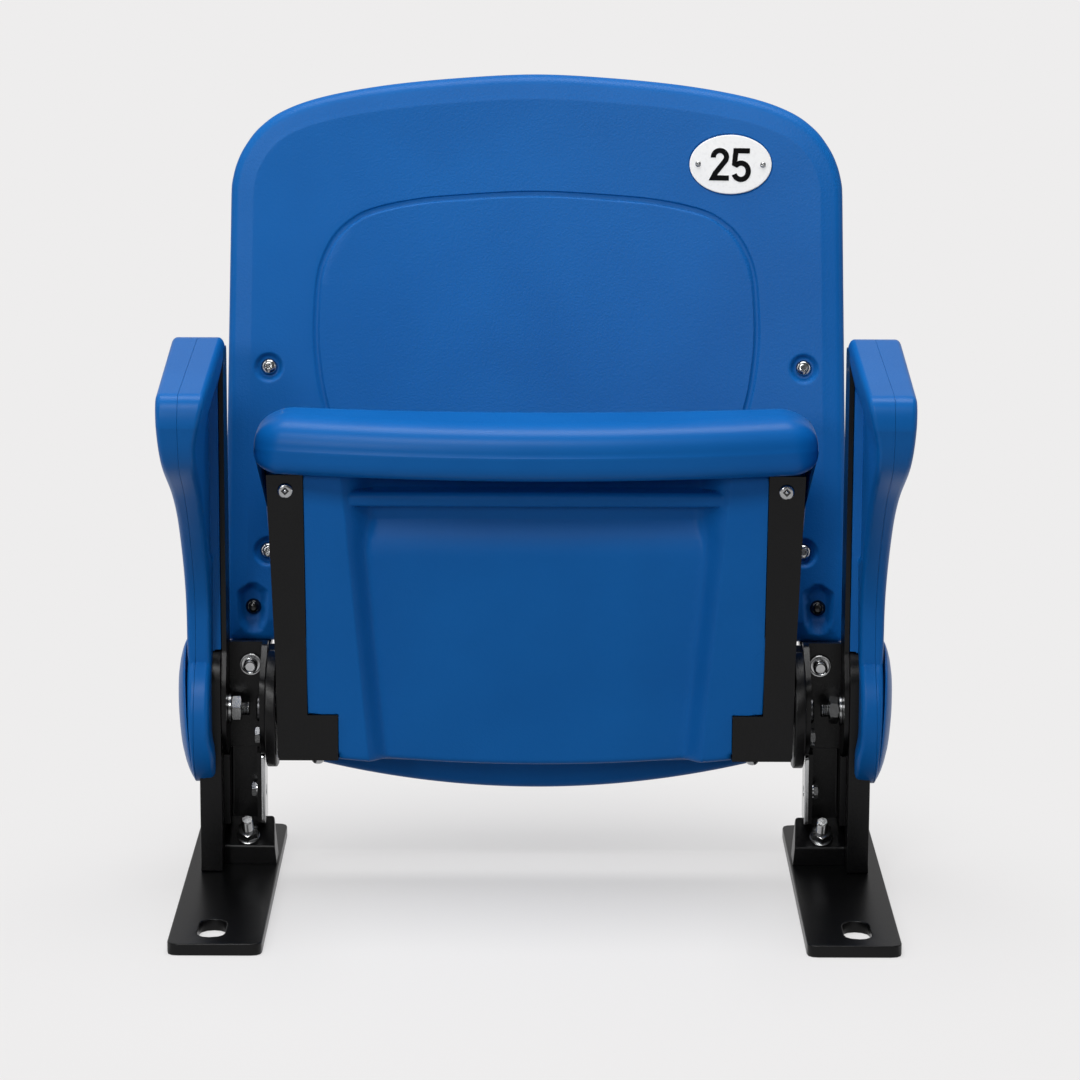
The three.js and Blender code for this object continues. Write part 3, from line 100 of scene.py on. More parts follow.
def rounded(corners, count=8):
    """A closed outline through corners, each (across, up) or (across, up, radius)."""
    line = []
    tips = [np.array(c[:2], float) for c in corners]
    for i, corner in enumerate(corners):
        tip, radius = tips[i], (corner[2] if len(corner) > 2 else 0)
        back, ahead = tips[i - 1] - tip, tips[(i + 1) % len(tips)] - tip
        if radius <= 0:
            line.append(tip[None])
            continue
        lengths = np.linalg.norm(back), np.linalg.norm(ahead)
        half = math.acos(np.clip(back @ ahead / (lengths[0] * lengths[1]), -1, 1)) / 2
        reach = min(radius / math.tan(half), lengths[0] / 2, lengths[1] / 2)
        start, end = tip + back / lengths[0] * reach, tip + ahead / lengths[1] * reach
        line += [start[None], curve(start, tip, end, count)]
    return np.vstack(line)


def even(line, step):
    """The closed line with its own points kept and more between them, about a step apart."""
    line = np.asarray(line, float)
    keep = np.linalg.norm(line - np.roll(line, 1, 0), axis=1) > 1e-6
    line = line[keep]
    ahead = np.roll(line, -1, 0)
    out = []
    for a, b in zip(line, ahead):
        parts = max(1, round(np.linalg.norm(b - a) / step))
        t = np.arange(parts)[:, None] / parts
        out.append(a + (b - a) * t)
    return np.vstack(out)


def spread(line, step):
    """The closed line with evenly spaced points, for smooth lines without corners."""
    line = np.vstack([line, line[:1]])
    along = np.concatenate([[0], np.cumsum(np.linalg.norm(np.diff(line, axis=0), axis=1))])
    count = max(8, round(along[-1] / step))
    places = np.linspace(0, along[-1], count, endpoint=False)
    return np.column_stack([np.interp(places, along, line[:, k]) for k in (0, 1)])


def inset(line, distance):
    """The closed, counterclockwise line moved inwards by a distance."""
    along = unit(np.roll(line, -1, 0) - np.roll(line, 1, 0))
    return line + distance * np.column_stack([-along[:, 1], along[:, 0]])


def both_sides(half):
    """The right half of an outline, bottom to top, and its mirror image on the left, top to bottom."""
    return list(half) + [(-c[0], *c[1:]) for c in reversed(half)]


def distance(points, line):
    """Distance of each point to a closed line, positive inside it."""
    a, b = np.asarray(line, float), np.roll(line, -1, 0)
    step = b - a
    size = np.maximum((step ** 2).sum(1), 1e-12)
    out = np.empty(len(points))
    for first in range(0, len(points), 1500):
        p = points[first:first + 1500, None, :]
        t = np.clip(((p - a) * step).sum(2) / size, 0, 1)
        near = ((p - a - t[..., None] * step) ** 2).sum(2).min(1)
        above = (a[:, 1] > p[..., 1]) != (b[:, 1] > p[..., 1])
        with np.errstate(divide="ignore", invalid="ignore"):
            cross = a[:, 0] + (p[..., 1] - a[:, 1]) / step[:, 1] * step[:, 0]
        inside = (above & (p[..., 0] < cross)).sum(1) % 2 == 1
        out[first:first + 1500] = np.where(inside, 1, -1) * np.sqrt(near)
    return out


def smooth(low, high, value):
    t = np.clip((value - low) / (high - low), 0, 1)
    return t * t * (3 - 2 * t)


def roll(edge, radius, depth):
    """Drop of a rounded edge at a distance in from the edge."""
    t = np.clip(1 - np.maximum(edge, 0) / radius, 0, 1)
    return depth * (1 - np.sqrt(np.maximum(1 - t ** 2, 0)))


def level(height, radius=1, drop=0):
    """A flat face for plate, with its rim rounded towards larger heights, or smaller for a negative drop."""
    def face(u, v, edge):
        return height + roll(edge, radius, drop)
    return face


# Meshes

materials = {}


def level_faces(obj):
    """Lets large faces keep their own shade beside narrow ones."""
    normals = obj.modifiers.new("normals", "WEIGHTED_NORMAL")
    normals.keep_sharp = True


def piece(name, body, finish, points, faces, angle, *nodes):
    """A piece from points in millimetres from the hinge axis, with its faces turned outwards.

    It rides on a body and stands for nodes. Edges sharper than the angle stay sharp.
    """
    mesh = bpy.data.meshes.new(name)
    places = (np.asarray(points) + AXLE) / 1000
    mesh.from_pydata(places.tolist(), [], [list(map(int, f)) for f in faces])
    work = bmesh.new()
    work.from_mesh(mesh)
    bmesh.ops.recalc_face_normals(work, faces=work.faces)
    work.to_mesh(mesh)
    work.free()
    mesh.polygons.foreach_set("use_smooth", [True] * len(mesh.polygons))
    mesh.set_sharp_from_angle(angle=math.radians(angle))
    mesh.materials.append(materials[finish])
    obj = bpy.data.objects.new(name, mesh)
    bpy.context.collection.objects.link(obj)
    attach(obj, body)
    if nodes:
        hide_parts(*nodes)
    return obj


def mirrored(points, hand):
    return np.asarray(points) * np.array([hand, 1, 1])


def plate(line, rims, extras, spacing, front, rear, plane="xz"):
    """A closed body between two height fields over one closed outline.

    Points lie on rings at the rim distances, on the extra loops, and on a grid inside.
    """
    line = np.asarray(line, float)
    area = np.sum(line[:, 0] * np.roll(line[:, 1], -1) - np.roll(line[:, 0], -1) * line[:, 1])
    if area < 0:
        line = line[::-1]
    chosen = [line]
    for depth in rims:
        inner = inset(line, depth)
        chosen.append(inner[distance(inner, line) > 0.93 * depth])
    for extra in extras:
        chosen.append(extra[distance(extra, line) > 0.4])
    chosen = np.vstack(chosen)
    tree = kdtree.KDTree(len(chosen))
    for i, (u, v) in enumerate(chosen):
        tree.insert((u, v, 0), i)
    tree.balance()
    low, high = line.min(0), line.max(0)
    rows = np.arange(low[1], high[1], spacing * 0.87)
    grid = np.vstack([row(np.arange(low[0] + (k % 2) * spacing / 2, high[0], spacing), v)
                      for k, v in enumerate(rows)])
    grid = grid[distance(grid, line) > max(rims[-1] if rims else 0, spacing * 0.4)]
    free = [g for g in grid if tree.find((g[0], g[1], 0))[2] > spacing * 0.62]
    flat = np.vstack([chosen, np.array(free).reshape(-1, 2)])
    count = len(line)
    edges = [(i, (i + 1) % count) for i in range(count)]
    verts, _, faces, origins = geometry.delaunay_2d_cdt(
        [Vector(p) for p in flat.tolist()], edges, [], 1, 1e-3)[:4]
    place = {source: i for i, sources in enumerate(origins) for source in sources}
    flat = np.array([tuple(v) for v in verts])
    edge = np.maximum(distance(flat, line), 0)
    rim = [place[i] for i in range(count)]
    edge[rim] = 0
    total = len(flat)
    near, far = front(*flat.T, edge), rear(*flat.T, edge)
    u, v = flat.T
    stacks = [(u, h, v) if plane == "xz" else (h, u, v) for h in (near, far)]
    points = np.vstack([np.column_stack(stack) for stack in stacks])
    skin = [tuple(f) for f in faces] + [tuple(i + total for i in reversed(f)) for f in faces]
    for a, b in zip(rim, rim[1:] + rim[:1]):
        skin.append((b, a, a + total, b + total))
    return points, skin


def rings_body(rings):
    """Joins closed rings of equally many points into a body, with a fan over each end."""
    count = len(rings[0])
    points = np.vstack(rings)
    faces = []
    for band in range(len(rings) - 1):
        for i in range(count):
            a, b = band * count + i, band * count + (i + 1) % count
            faces.append((a, b, b + count, a + count))
    ends = [rings[0].mean(0), rings[-1].mean(0)]
    base = (len(rings) - 1) * count
    for i in range(count):
        faces.append(((i + 1) % count, i, len(points)))
        faces.append((base + i, base + (i + 1) % count, len(points) + 1))
    return np.vstack([points, ends]), faces


def aimed(local, seat, heading):
    """Moves points drawn about +Z to a seat with +Z along a heading."""
    turn = np.array(Vector((0, 0, 1)).rotation_difference(Vector(heading)).to_matrix())
    return np.asarray(local) @ turn.T + np.array(seat)


def ring(radius, height, sides):
    """A ring about +Z whose radius and height may differ from point to point."""
    turn = np.linspace(0, 2 * math.pi, sides, endpoint=False)
    height = np.broadcast_to(height, turn.shape)
    return np.column_stack([radius * np.cos(turn), radius * np.sin(turn), height])


def lathe(profile, sides=48):
    """A closed body turned about +Z from (radius, height) points."""
    return rings_body([ring(max(r, 1e-3), h, sides) for r, h in profile])


def hoop(section, sides=48):
    """A ring turned about +Z from the closed (radius, height) outline of its section."""
    faces = []
    for band in range(len(section)):
        here, after = band * sides, (band + 1) % len(section) * sides
        for i in range(sides):
            j = (i + 1) % sides
            faces.append((here + i, here + j, after + j, after + i))
    return np.vstack([ring(r, h, sides) for r, h in section]), faces


def reach_of(flats, across, sides):
    """Distance from the axis to the sides of a polygon, point by point round a ring."""
    turn = np.linspace(0, 2 * math.pi, sides, endpoint=False)
    part = 2 * math.pi / flats
    return across / 2 / np.cos((turn + part / 2) % part - part / 2)


def socketed(head, flats, across, depth, sides=48, shift=0):
    """A head given from its rim to its crown, with a many-sided socket sunk into the crown."""
    top = head[-1][1]
    walls = np.roll(reach_of(flats, across, sides), shift)
    rings = [ring(max(r, 1e-3), h, sides) for r, h in head]
    rings += [ring(walls, top - 0.1, sides), ring(walls * 0.97, top - depth, sides)]
    return rings_body(rings)


def nut(across, low, high, sides=72):
    """A hexagon about +Z whose corners are turned off at both ends."""
    walls, inner = reach_of(6, across, sides), across / 2 * 0.97
    cut = (walls - inner) * 0.5
    levels = [(inner, low), (walls, low + cut), (walls, high - cut), (inner, high)]
    return rings_body([ring(radius, height, sides) for radius, height in levels])


def thread(radius, low, high, pitch=1.25):
    """Profile of a stud with ring-shaped thread ridges and a turned-off end."""
    line = [(0, low), (radius, low)]
    for h in np.arange(low + pitch / 2, high - pitch, pitch):
        line += [(radius, h), (radius - 0.5, h + pitch / 2)]
    return line + [(radius, high - 1), (radius - 0.9, high), (0, high)]


def merged(*bodies):
    points, faces, base = [], [], 0
    for some, skin in bodies:
        points.append(some)
        faces += [tuple(i + base for i in f) for f in skin]
        base += len(some)
    return np.vstack(points), faces


# Back shell

# The front face lies at FACE_DEPTH, leans back from LEAN_START upwards, and its sides come forward by DISH.

FACE_DEPTH, LEAN, LEAN_START, LEAN_BLEND, DISH, DISH_LOW, DISH_HIGH = 60, 0.25, 54.5, 60, 20, -60, 120
STRAP_ACROSS, STRAP_GAP = 212, 1.5


def back_face(x, z):
    past = z - LEAN_START
    lean = LEAN * (np.hypot(past, LEAN_BLEND) + past) / 2
    high = smooth(DISH_LOW, DISH_HIGH, z)
    return FACE_DEPTH + lean - DISH * (0.3 + 0.7 * high) * (x / BACK_HALF) ** 2


def strap_face(z):
    return back_face(STRAP_ACROSS, z) + BACK_THICK + STRAP_GAP


def back_outline():
    foot = BACK_FOOT_HALF - FOOT_ROUND
    low = [(0, -BACK_DROP)]
    low += list(curve((0, -BACK_DROP), (foot / 2, -BACK_DROP), (foot, -BACK_FOOT_EDGE), 40))
    low += list(curve((foot, -BACK_FOOT_EDGE), (BACK_FOOT_HALF, -BACK_FOOT_EDGE),
                      (BACK_FOOT_HALF, FOOT_ROUND - BACK_FOOT_EDGE), 12))
    low += list(curve((BACK_FOOT_HALF, BACK_SHOULDER - NECK_ROUND), (BACK_FOOT_HALF, BACK_SHOULDER),
                      (BACK_FOOT_HALF + NECK_ROUND, BACK_SHOULDER), 6))
    low += list(curve((BACK_HALF - LOBE_ROUND, BACK_SHOULDER), (BACK_HALF, BACK_SHOULDER),
                      (BACK_HALF, BACK_SHOULDER + LOBE_ROUND), 12))
    rise = BACK_RISE - BACK_SIDE_RISE
    crown = [(BACK_HALF - BACK_TAPER, BACK_SIDE_RISE)]
    crown += [(x * BACK_HALF, BACK_SIDE_RISE + rise * z) for x, z in BACK_TOP_SHARES]
    crown += [(0, BACK_RISE)]
    top = spline(crown + [(-crown[-2][0], crown[-2][1])], 14)[:-14]
    half = [tuple(p) for p in low] + [tuple(p) for p in top]
    line = half + [(-x, z) for x, z in reversed(half[1:-1])]
    return even(line, 3.2)


# Right half of the groove round the raised panel, from its top to its foot

PANEL = [(0, 424), (69.3, 420.8), (108.7, 416.9), (144.4, 409.1), (163.4, 399), (175.9, 386.9),
         (185.1, 370.3), (189.7, 355), (191.8, 337), (192.9, 307.8), (191.5, 283.4), (188.2, 260.3),
         (182.9, 238.4), (172, 203), (158, 168), (140, 138), (112, 118), (72, 108), (0, 104)]
GROOVE_WIDTH, GROOVE_DEPTH, PANEL_SUNK = 5.6, 1.5, 3


def panel_line():
    half = spline([(-PANEL[1][0], PANEL[1][1])] + PANEL + [(-PANEL[-2][0], PANEL[-2][1])], 12)[12:-12]
    whole = np.vstack([half, (half * (-1, 1))[::-1][1:-1]])
    return spread(whole[::-1], 2.6)


groove = panel_line()

# Round pockets of the upper bolts, and the shield-shaped ones of the lower bolts with a shallower foot

POCKET_DEPTH, POCKET_INNER, POCKET_OUTER = 4.2, 8.2, 13.2
SHIELD_PLACE, SHIELD_DEPTH, SHIELD_FOOT, SHIELD_WALL, SHIELD_ROUND = (243.3, 78.1), 8, 5.5, 6.5, 5
SHIELD = [(0, 19), (-3.4, 19), (-14.2, 11.4), (-12.6, -16), (-9, -25), (0, -27.2)]
STRAP_BOSS, BOSS_INNER, BOSS_OUTER = 15, 12.4, 14.6
OVAL_DEPTH, OVAL_INNER, OVAL_OUTER = 1.3, 1.004, 1.022


def shield_line():
    """Outline of the pocket round the right lower bolt."""
    x, z = SHIELD_PLACE
    half = [(x + u, z + v, SHIELD_ROUND) for u, v in SHIELD]
    return rounded(half + [(x - u, z + v, SHIELD_ROUND) for u, v in reversed(SHIELD[1:-1])])


def back_front(x, z, edge):
    side = np.clip(1 - edge / RIM, 0, 1)
    y = back_face(x, z) + RIM_SLOPE * np.minimum(side / 0.6, 1) * smooth(0, 0.12, side)
    y = y + roll(edge, RIM_ROUND, RIM_DEPTH - RIM_SLOPE)
    inward = distance(np.column_stack([x, z]), groove)
    y = y + GROOVE_DEPTH * smooth(0, 1.0, inward) * (1 - smooth(GROOVE_WIDTH - 1.0, GROOVE_WIDTH, inward))
    for across, rise in (BOLTS["upper"], BOLTS["middle"]):
        away = np.hypot(np.abs(x) - across, z - rise)
        y = y + POCKET_DEPTH * (1 - smooth(POCKET_INNER, POCKET_OUTER, away))
    depth = np.clip(distance(np.column_stack([np.abs(x), z]), shield_line()) / SHIELD_WALL, 0, 1)
    floor = SHIELD_DEPTH - SHIELD_FOOT * smooth(-9, -25, z - SHIELD_PLACE[1])
    y = y + floor * smooth(0, 1, depth)
    oval = np.hypot((x - NUMBER_ACROSS) / NUMBER_HALF[0], (z - NUMBER_RISE) / NUMBER_HALF[1])
    return y + OVAL_DEPTH * (1 - smooth(OVAL_INNER, OVAL_OUTER, oval))


def back_rear(x, z, edge):
    y = back_face(x, z) + BACK_THICK - roll(edge, REAR_ROUND, RIM_DEPTH * 0.82)
    inward = distance(np.column_stack([x, z]), groove)
    y = y - PANEL_SUNK * smooth(-2, 9, inward)
    for across, rise in BOLTS.values():
        away = np.hypot(np.abs(x) - across, z - rise)
        boss = y + (strap_face(z) - 0.3 - y) * (1 - smooth(BOSS_INNER, BOSS_OUTER, away))
        y = np.where(away < STRAP_BOSS, np.maximum(y, boss), y)
    return y


def make_back():
    steps = (-1.2, -0.3, 0, 0.25, 0.5, 0.75, 1.0, 1.5, 2.8, 4.1, 4.6, 4.85, 5.1, 5.35, 5.6, 6.0, 7)
    extras = [spread(inset(groove, s), 2.6) for s in steps]
    for hand in (-1, 1):
        for name, (across, rise) in BOLTS.items():
            if name == "lower":
                corners = spread(shield_line()[::-1], 1.6)
                extras += [inset(corners, s) * (hand, 1) for s in (-1, 0, 0.8, 1.8, 3, 4.2, 5.4, 6.5, 7.6)]
            else:
                extras += [arc((hand * across, rise), (r, r), 0, 352, 45)
                           for r in (3, 6, 7.4, 8.2, 9, 10, 11, 12, 12.8, 13.6, 15)]
    extras += [arc((NUMBER_ACROSS, NUMBER_RISE), (NUMBER_HALF[0] * s, NUMBER_HALF[1] * s), 0, 357, 120)
               for s in (0.96, 1.0, 1.004, 1.01, 1.016, 1.022, 1.03, 1.05)]
    rims = (0.12, 0.5, 1.1, 2, 3.2, 4.6, 6.2, 8, 9.4, 11.5, 14.5, 17, 18.4, 19.4, 20.2, 21.2)
    points, skin = plate(back_outline(), rims, extras, 4.6, back_front, back_rear)
    piece("back_moulding", "stand", "blue", points, skin, 50, "back_shell")


# Seat top: a slab up to LIP_LOW with a hollow to sit in, and above it the rolled lip that reaches forward

NOTCH_HALF, NOTCH_RISE, NOTCH_ROUND = 187.5, 57.5, 10
LIP_LOW, LIP_HIGH, LIP_FRONT, LIP_HALF = 214.5, 264.5, 77, 233.7
LIP_OVER, LIP_UNDER, LIP_DIP, LIP_BOW = 30, 14, 4.5, 20
SEAT_REAR, SEAT_PART, SEAT_FOOT, SEAT_BOW, SEAT_CURL = 10, 8, 41, 3, 7
SLAB_SPREAD, SLAB_FLARE, SLAB_ROUND, LIP_ROUND = 31.5, 9, 4.5, 20
BACK_CURL_DROP, BACK_CURL_REACH = 38, 34
HOLLOW_HALF, HOLLOW_RISE, HOLLOW_TALL, HOLLOW_DEPTH = 176, 92, 122, 8


def quarter(share):
    """Drop of a quarter circle, from none at 0 to one at 1."""
    return 1 - np.sqrt(1 - share ** 2)


def seat_half(y, z):
    """Half width of the seat top: a slab that widens upwards, and the longer lip with its round ends."""
    slab = NOTCH_HALF + SLAB_SPREAD * smooth(NOTCH_RISE - 1, NOTCH_RISE + 7, z)
    slab = slab + SLAB_FLARE * smooth(NOTCH_RISE, LIP_LOW, z) * (z > NOTCH_RISE)
    over = np.clip((z - LIP_HIGH + LIP_OVER) / LIP_OVER, 0, 1)
    under = np.clip((LIP_LOW + LIP_UNDER - z) / LIP_UNDER, 0, 1)
    lip = LIP_HALF - 0.62 * LIP_OVER * quarter(over) - 0.4 * LIP_UNDER * quarter(under)
    share = smooth(-9, -17, y) * smooth(LIP_LOW - 9, LIP_LOW, z) + smooth(LIP_LOW + 2, LIP_LOW + 24, z)
    return slab + (lip - slab) * np.clip(share, 0, 1)


def lip_section(u, count_rear=60):
    """Side outline of the seat top at a share of its half width, from its lower edge up the rear."""
    bulge = 1 - u ** 2
    dip = LIP_DIP * bulge
    front = LIP_FRONT + LIP_BOW * (bulge - 0.5)
    high, low = LIP_HIGH - dip, LIP_LOW - 0.6 * dip
    rear, foot = SEAT_REAR, -SEAT_FOOT - SEAT_BOW * bulge
    turn, back = high - BACK_CURL_DROP, rear - BACK_CURL_REACH
    z = np.linspace(foot + SEAT_CURL, turn, count_rear)
    under = zip(np.linspace(-front + 22, -44, 8), np.linspace(0.1, 1, 8))
    return np.vstack([
        [[-SEAT_PART + 2, foot], [rear - SEAT_CURL, foot]],
        curve((rear - SEAT_CURL, foot), (rear, foot), (rear, foot + SEAT_CURL), 6),
        [[rear, v] for v in z[1:]],
        curve((rear, turn), (rear, high), (back, high), 16),
        [[y, high - 0.03 * (back - y)] for y in np.linspace(back - 3, -front + 27, 10)],
        curve((-front + 27, high - 1.2), (-front, high - 2), (-front, high - 26), 14),
        curve((-front, high - 26), (-front - 0.6, low + 22), (-front, low + 17), 6),
        curve((-front, low + 17), (-front, low), (-front + 17, low), 12),
        [[y, low + (LIP_LOW - low) * share] for y, share in under],
        row(np.linspace(-40, -SEAT_PART, 6), LIP_LOW),
        [[-SEAT_PART, v] for v in np.linspace(LIP_LOW - 5, foot + 2, 30)],
    ])


def make_seat_top():
    near_end = {0, 0.15, 0.5, 1.1, 2, 3.2, 4.7, 6.5, 8.6, 11, 13.8, 17, 20.5, 24}
    places = sorted(near_end | {round(v, 3) for v in np.linspace(28, LIP_HALF, 46)})
    rings = []
    for hand in (-1, 1):
        for inward in (places if hand < 0 else places[::-1][1:]):
            section = lip_section(1 - inward / LIP_HALF)
            y, z = section[:, 0].copy(), section[:, 1].copy()
            lip = np.clip(smooth(206, 218, z) * smooth(-6, -20, y) + smooth(216, 240, z), 0, 1)
            radius = SLAB_ROUND + (LIP_ROUND - SLAB_ROUND) * lip
            shrink = radius * quarter(np.clip(1 - inward / radius, 0, 1))
            along = np.roll(section, -1, 0) - np.roll(section, 1, 0)
            along /= np.maximum(np.linalg.norm(along, axis=1), 1e-9)[:, None]
            y, z = y - along[:, 1] * shrink, z + along[:, 0] * shrink
            half = seat_half(y, z)
            x = hand * (half - inward * half / LIP_HALF)
            hollow = np.clip(1 - (x / HOLLOW_HALF) ** 2 - ((z - HOLLOW_RISE) / HOLLOW_TALL) ** 2, 0, 1)
            y = y - HOLLOW_DEPTH * hollow ** 0.75 * smooth(4, 9, section[:, 0]) * (z < LIP_LOW - 0.5)
            rings.append(np.column_stack([x, y, z]))
    points, skin = rings_body(rings)
    piece("seat_top_moulding", "seat", "blue_smooth", points, skin, 50, "seat_top")


# Seat pan: its front lies at PAN_FRONT, with a recess between slanting walls, a bar across it and room for
# the seat arms

PAN_FRONT, PAN_REAR, PAN_FOOT, PAN_FOOT_RISE, PAN_TOP = 40, 8.3, 34.5, 30.2, 212.5
PAN_FOOT_HALF, PAN_TOP_HALF, PAN_BOW, PAN_ROUND = 165.7, 210.9, 9, 5
RECESS_FOOT, RECESS_TALL, RECESS_LOW_HALF, RECESS_HIGH_HALF, RECESS_WALL = 43.5, 256, 140.2, 163.7, 14
BAR_LOW, BAR_HIGH, BAR_HALF, BAR_FRONT, BAR_ROUND = 182, 194.8, 164.9, 36, 5
CREASE, SLOT, CREASE_PROUD = 146.5, 167.5, 1.1
FLOOR_RISES, FLOOR_PLACES = [CREASE, SLOT, BAR_HIGH, BAR_HIGH + 3], [-22, -13, -13, -9.6]
ARM_SEAT = 2.3
ARM_FACE = [(166, -PAN_FOOT, 5), (216.8, -PAN_FOOT, 5), (218, 49.5), (224.4, 210.4), (194, 210.4),
            (191.6, 4.8), (166, 4.8)]
LAP = [(181, 5.6), (191.2, 5.6), (193.3, 72), (181, 72)]
LAP_FRONT, LAP_REAR = 39.9, 36.5


def recess_half(z):
    return RECESS_LOW_HALF + (RECESS_HIGH_HALF - RECESS_LOW_HALF) * (z + RECESS_FOOT) / RECESS_TALL


def pan_front(x, z, edge):
    side = np.abs(x)
    floor = np.interp(z, FLOOR_RISES, FLOOR_PLACES)
    depth = PAN_FRONT + floor + CREASE_PROUD * np.exp(-((z - CREASE) / 4) ** 2)
    slope = np.clip((recess_half(z) - side) / RECESS_WALL * 15 / np.maximum(depth, 1), 0, 1)
    y = -PAN_FRONT + depth * smooth(0, 1, slope * 0.86 + 0.07) * (slope > 0) * smooth(-0.02, 0.12, slope)
    inside = smooth(BAR_HALF + 1, BAR_HALF - 5, side)
    half = (BAR_HIGH - BAR_LOW) / 2
    up = np.abs(z - (BAR_LOW + BAR_HIGH) / 2)
    on_bar = up < half + 0.02
    bar = np.where(on_bar, -BAR_FRONT + roll(half - up, BAR_ROUND, BAR_ROUND), 0)
    y = np.where(on_bar & (side < BAR_HALF), np.minimum(y, bar * inside + y * (1 - inside)), y)
    y = y + roll(edge, PAN_ROUND, PAN_ROUND)
    near = distance(np.column_stack([side, z]), rounded(ARM_FACE))
    return np.where(near > -0.5, np.maximum(y, -PAN_FRONT + ARM_SEAT * smooth(-0.5, 0.1, near)), y)


def make_pan():
    half = [(PAN_FOOT_HALF, -PAN_FOOT), (PAN_FOOT_HALF, -PAN_FOOT_RISE), (NOTCH_HALF, -PAN_FOOT_RISE),
            (NOTCH_HALF, NOTCH_RISE, NOTCH_ROUND), (PAN_TOP_HALF, NOTCH_RISE, NOTCH_ROUND),
            (PAN_TOP_HALF, PAN_TOP)]
    across = np.linspace(-PAN_FOOT_HALF, PAN_FOOT_HALF, 80)[1:-1]
    bow = np.array([(x, -PAN_FOOT - PAN_BOW * (1 - (x / PAN_FOOT_HALF) ** 2)) for x in across])
    line = even(np.vstack([rounded(both_sides(half)), bow]), 3)
    extras = []
    for up in (0, 1.4, 2.8, 3.9, 4.8, 5.5, 6.0, 6.3, 6.41, 6.6, 7.4):
        for way in (-1, 1):
            extras.append(row(np.arange(-BAR_HALF - 8, BAR_HALF + 8.1, 2.2),
                              (BAR_LOW + BAR_HIGH) / 2 + way * up))
    for hand in (-1, 1):
        z = np.arange(-42, 212, 2.4)
        for s in (-2, -0.8, 0, 0.7, 1.6, 3, 5, 7, 9, 11, 12.4, 13.3, 14, 15, 17):
            extras.append(np.column_stack([hand * (recess_half(z) - s), z]))
        face = even(rounded(ARM_FACE), 2.4)
        extras += [inset(face, s) * (hand, 1) for s in (-1.4, -0.5, -0.2, 0.1, 0.8)]
    extras += [row(np.arange(-150, 150.1, 2.6), z) for z in (
        CREASE - 5, CREASE - 2.5, CREASE, CREASE + 2.5, CREASE + 5, SLOT - 1, SLOT, SLOT + 1)]
    rims = (0.1, 0.4, 0.9, 1.6, 2.5, 3.6, 5, 6)
    points, skin = plate(line, rims, extras, 4.4, pan_front, level(-PAN_REAR))
    piece("seat_pan_moulding", "seat", "blue", points, skin, 50, "seat_pan")
    points, skin = plate(even(LAP, 2), (0.4, 1), [], 2, level(-LAP_FRONT, 0.8, 0.6), level(-LAP_REAR))
    for side, hand in SIDES:
        piece(f"{side}_pan_lap", "seat", "blue", mirrored(points, hand), skin, 50)


# Armrests: an outer and an inner shell that meet on a seam. Faces are distances from the part's middle, at
# the heights in the lists of rises.

ARM_RISE, ARM_REACH, ARM_REAR, ARM_DISC = 321.5, 217, 28, 62
ARM_SHOULDER, NOSE_DROP, NOSE_LOW, NOSE_BACK, DISC_TURN = 48, 14, 282, 200, 127
ARM_UNDERSIDE = [(-197.9, 246.6), (-140, 209.6), (-80.1, 155.6), (-43.4, 102.9)]
DISC_LEAN, CAP_LEAN, ARM_SPLAY, ARM_ROUND, INNER_ROUND, INNER_DROP = 0.025, 0.06, 4.2, 5, 7, 4.5
SEAM_LOW, SEAM_HIGH, SEAM_FOOT, SEAM_TALL, SEAM_GAP = 287, 281.3, 67.5, 405, 0.1
OUTER_RISES = [-110, 60, 199.3, 279.7, 360]
OUTER_FACES = [292.5 - 170 * DISC_LEAN, 292.5, 292.5, 299.5, 299.5]
INNER_RISES = [-90, -27.6, -15.4, 24.1, 266.8, 302.2, 360]
INNER_FACES = [270, 270, 272.7, 272.7, 269, 260.5, 260.5]
WEB_SHARES = [(0.07, 0.4), (0.27, 0.45), (0.5, 0.6), (0.6, 0.7), (0.5, 0.8), (0.25, 0.88), (0.07, 0.88)]
WEB_FACE, RIB_FACE, LEG_FACE, POST_FACE = 273, 265.6, 283.9, 265.3
LEG_REAR, LEG_FRONT, LEG_FOOT, LEG_TURN, LEG_ROUND = 30.3, 32.3, 72, (-1, 28), 31.3
POST_SLOT = [(-15.3, 0), (40, 0), (40, 309.8), (-15.3, 309.8)]
RIB = [(-18, 51.5, 4), (60, 51.5), (60, 306), (-18, 306, 9)]
CAP_SEAT, CAP_RADIUS = 292.8, 60
CAP = [(CAP_RADIUS, 0), (CAP_RADIUS, 0.5), (59.3, 1.3), (57.5, 2.3), (53.5, 4), (47, 6), (38, 7.9), (27, 9.1),
       (14, 9.7), (5, 9.75), (2.4, 9.7), (2, 9.3), (2, 3.7), (13, 3.7), (13, 0)]


def arm_outline():
    """Side outline (depth, height) of an armrest, clockwise from its rear top corner."""
    rear, high = (ARM_REAR, ARM_RISE - ARM_SHOULDER), ARM_RISE - NOSE_DROP
    line = [np.array([rear]), curve(rear, (ARM_REAR, ARM_RISE), (ARM_REAR - ARM_SHOULDER, ARM_RISE), 14)]
    line.append(curve((-NOSE_BACK, high), (-ARM_REACH, high), (-ARM_REACH, NOSE_LOW), 14))
    turn = math.radians(DISC_TURN)
    front = [(-ARM_REACH, NOSE_LOW), *ARM_UNDERSIDE, (ARM_DISC * math.cos(turn), ARM_DISC * math.sin(turn))]
    line.append(spline([(-ARM_REACH, NOSE_LOW + 2)] + front, 12)[13:])
    last = 360 + math.degrees(math.acos(ARM_REAR / ARM_DISC))
    line.append(arc((0, 0), (ARM_DISC, ARM_DISC), DISC_TURN, last, 90))
    return even(np.vstack(line), 3)


def arm_seam(z):
    return SEAM_LOW + (SEAM_HIGH - SEAM_LOW) * np.clip((z + SEAM_FOOT) / SEAM_TALL, 0, 1)


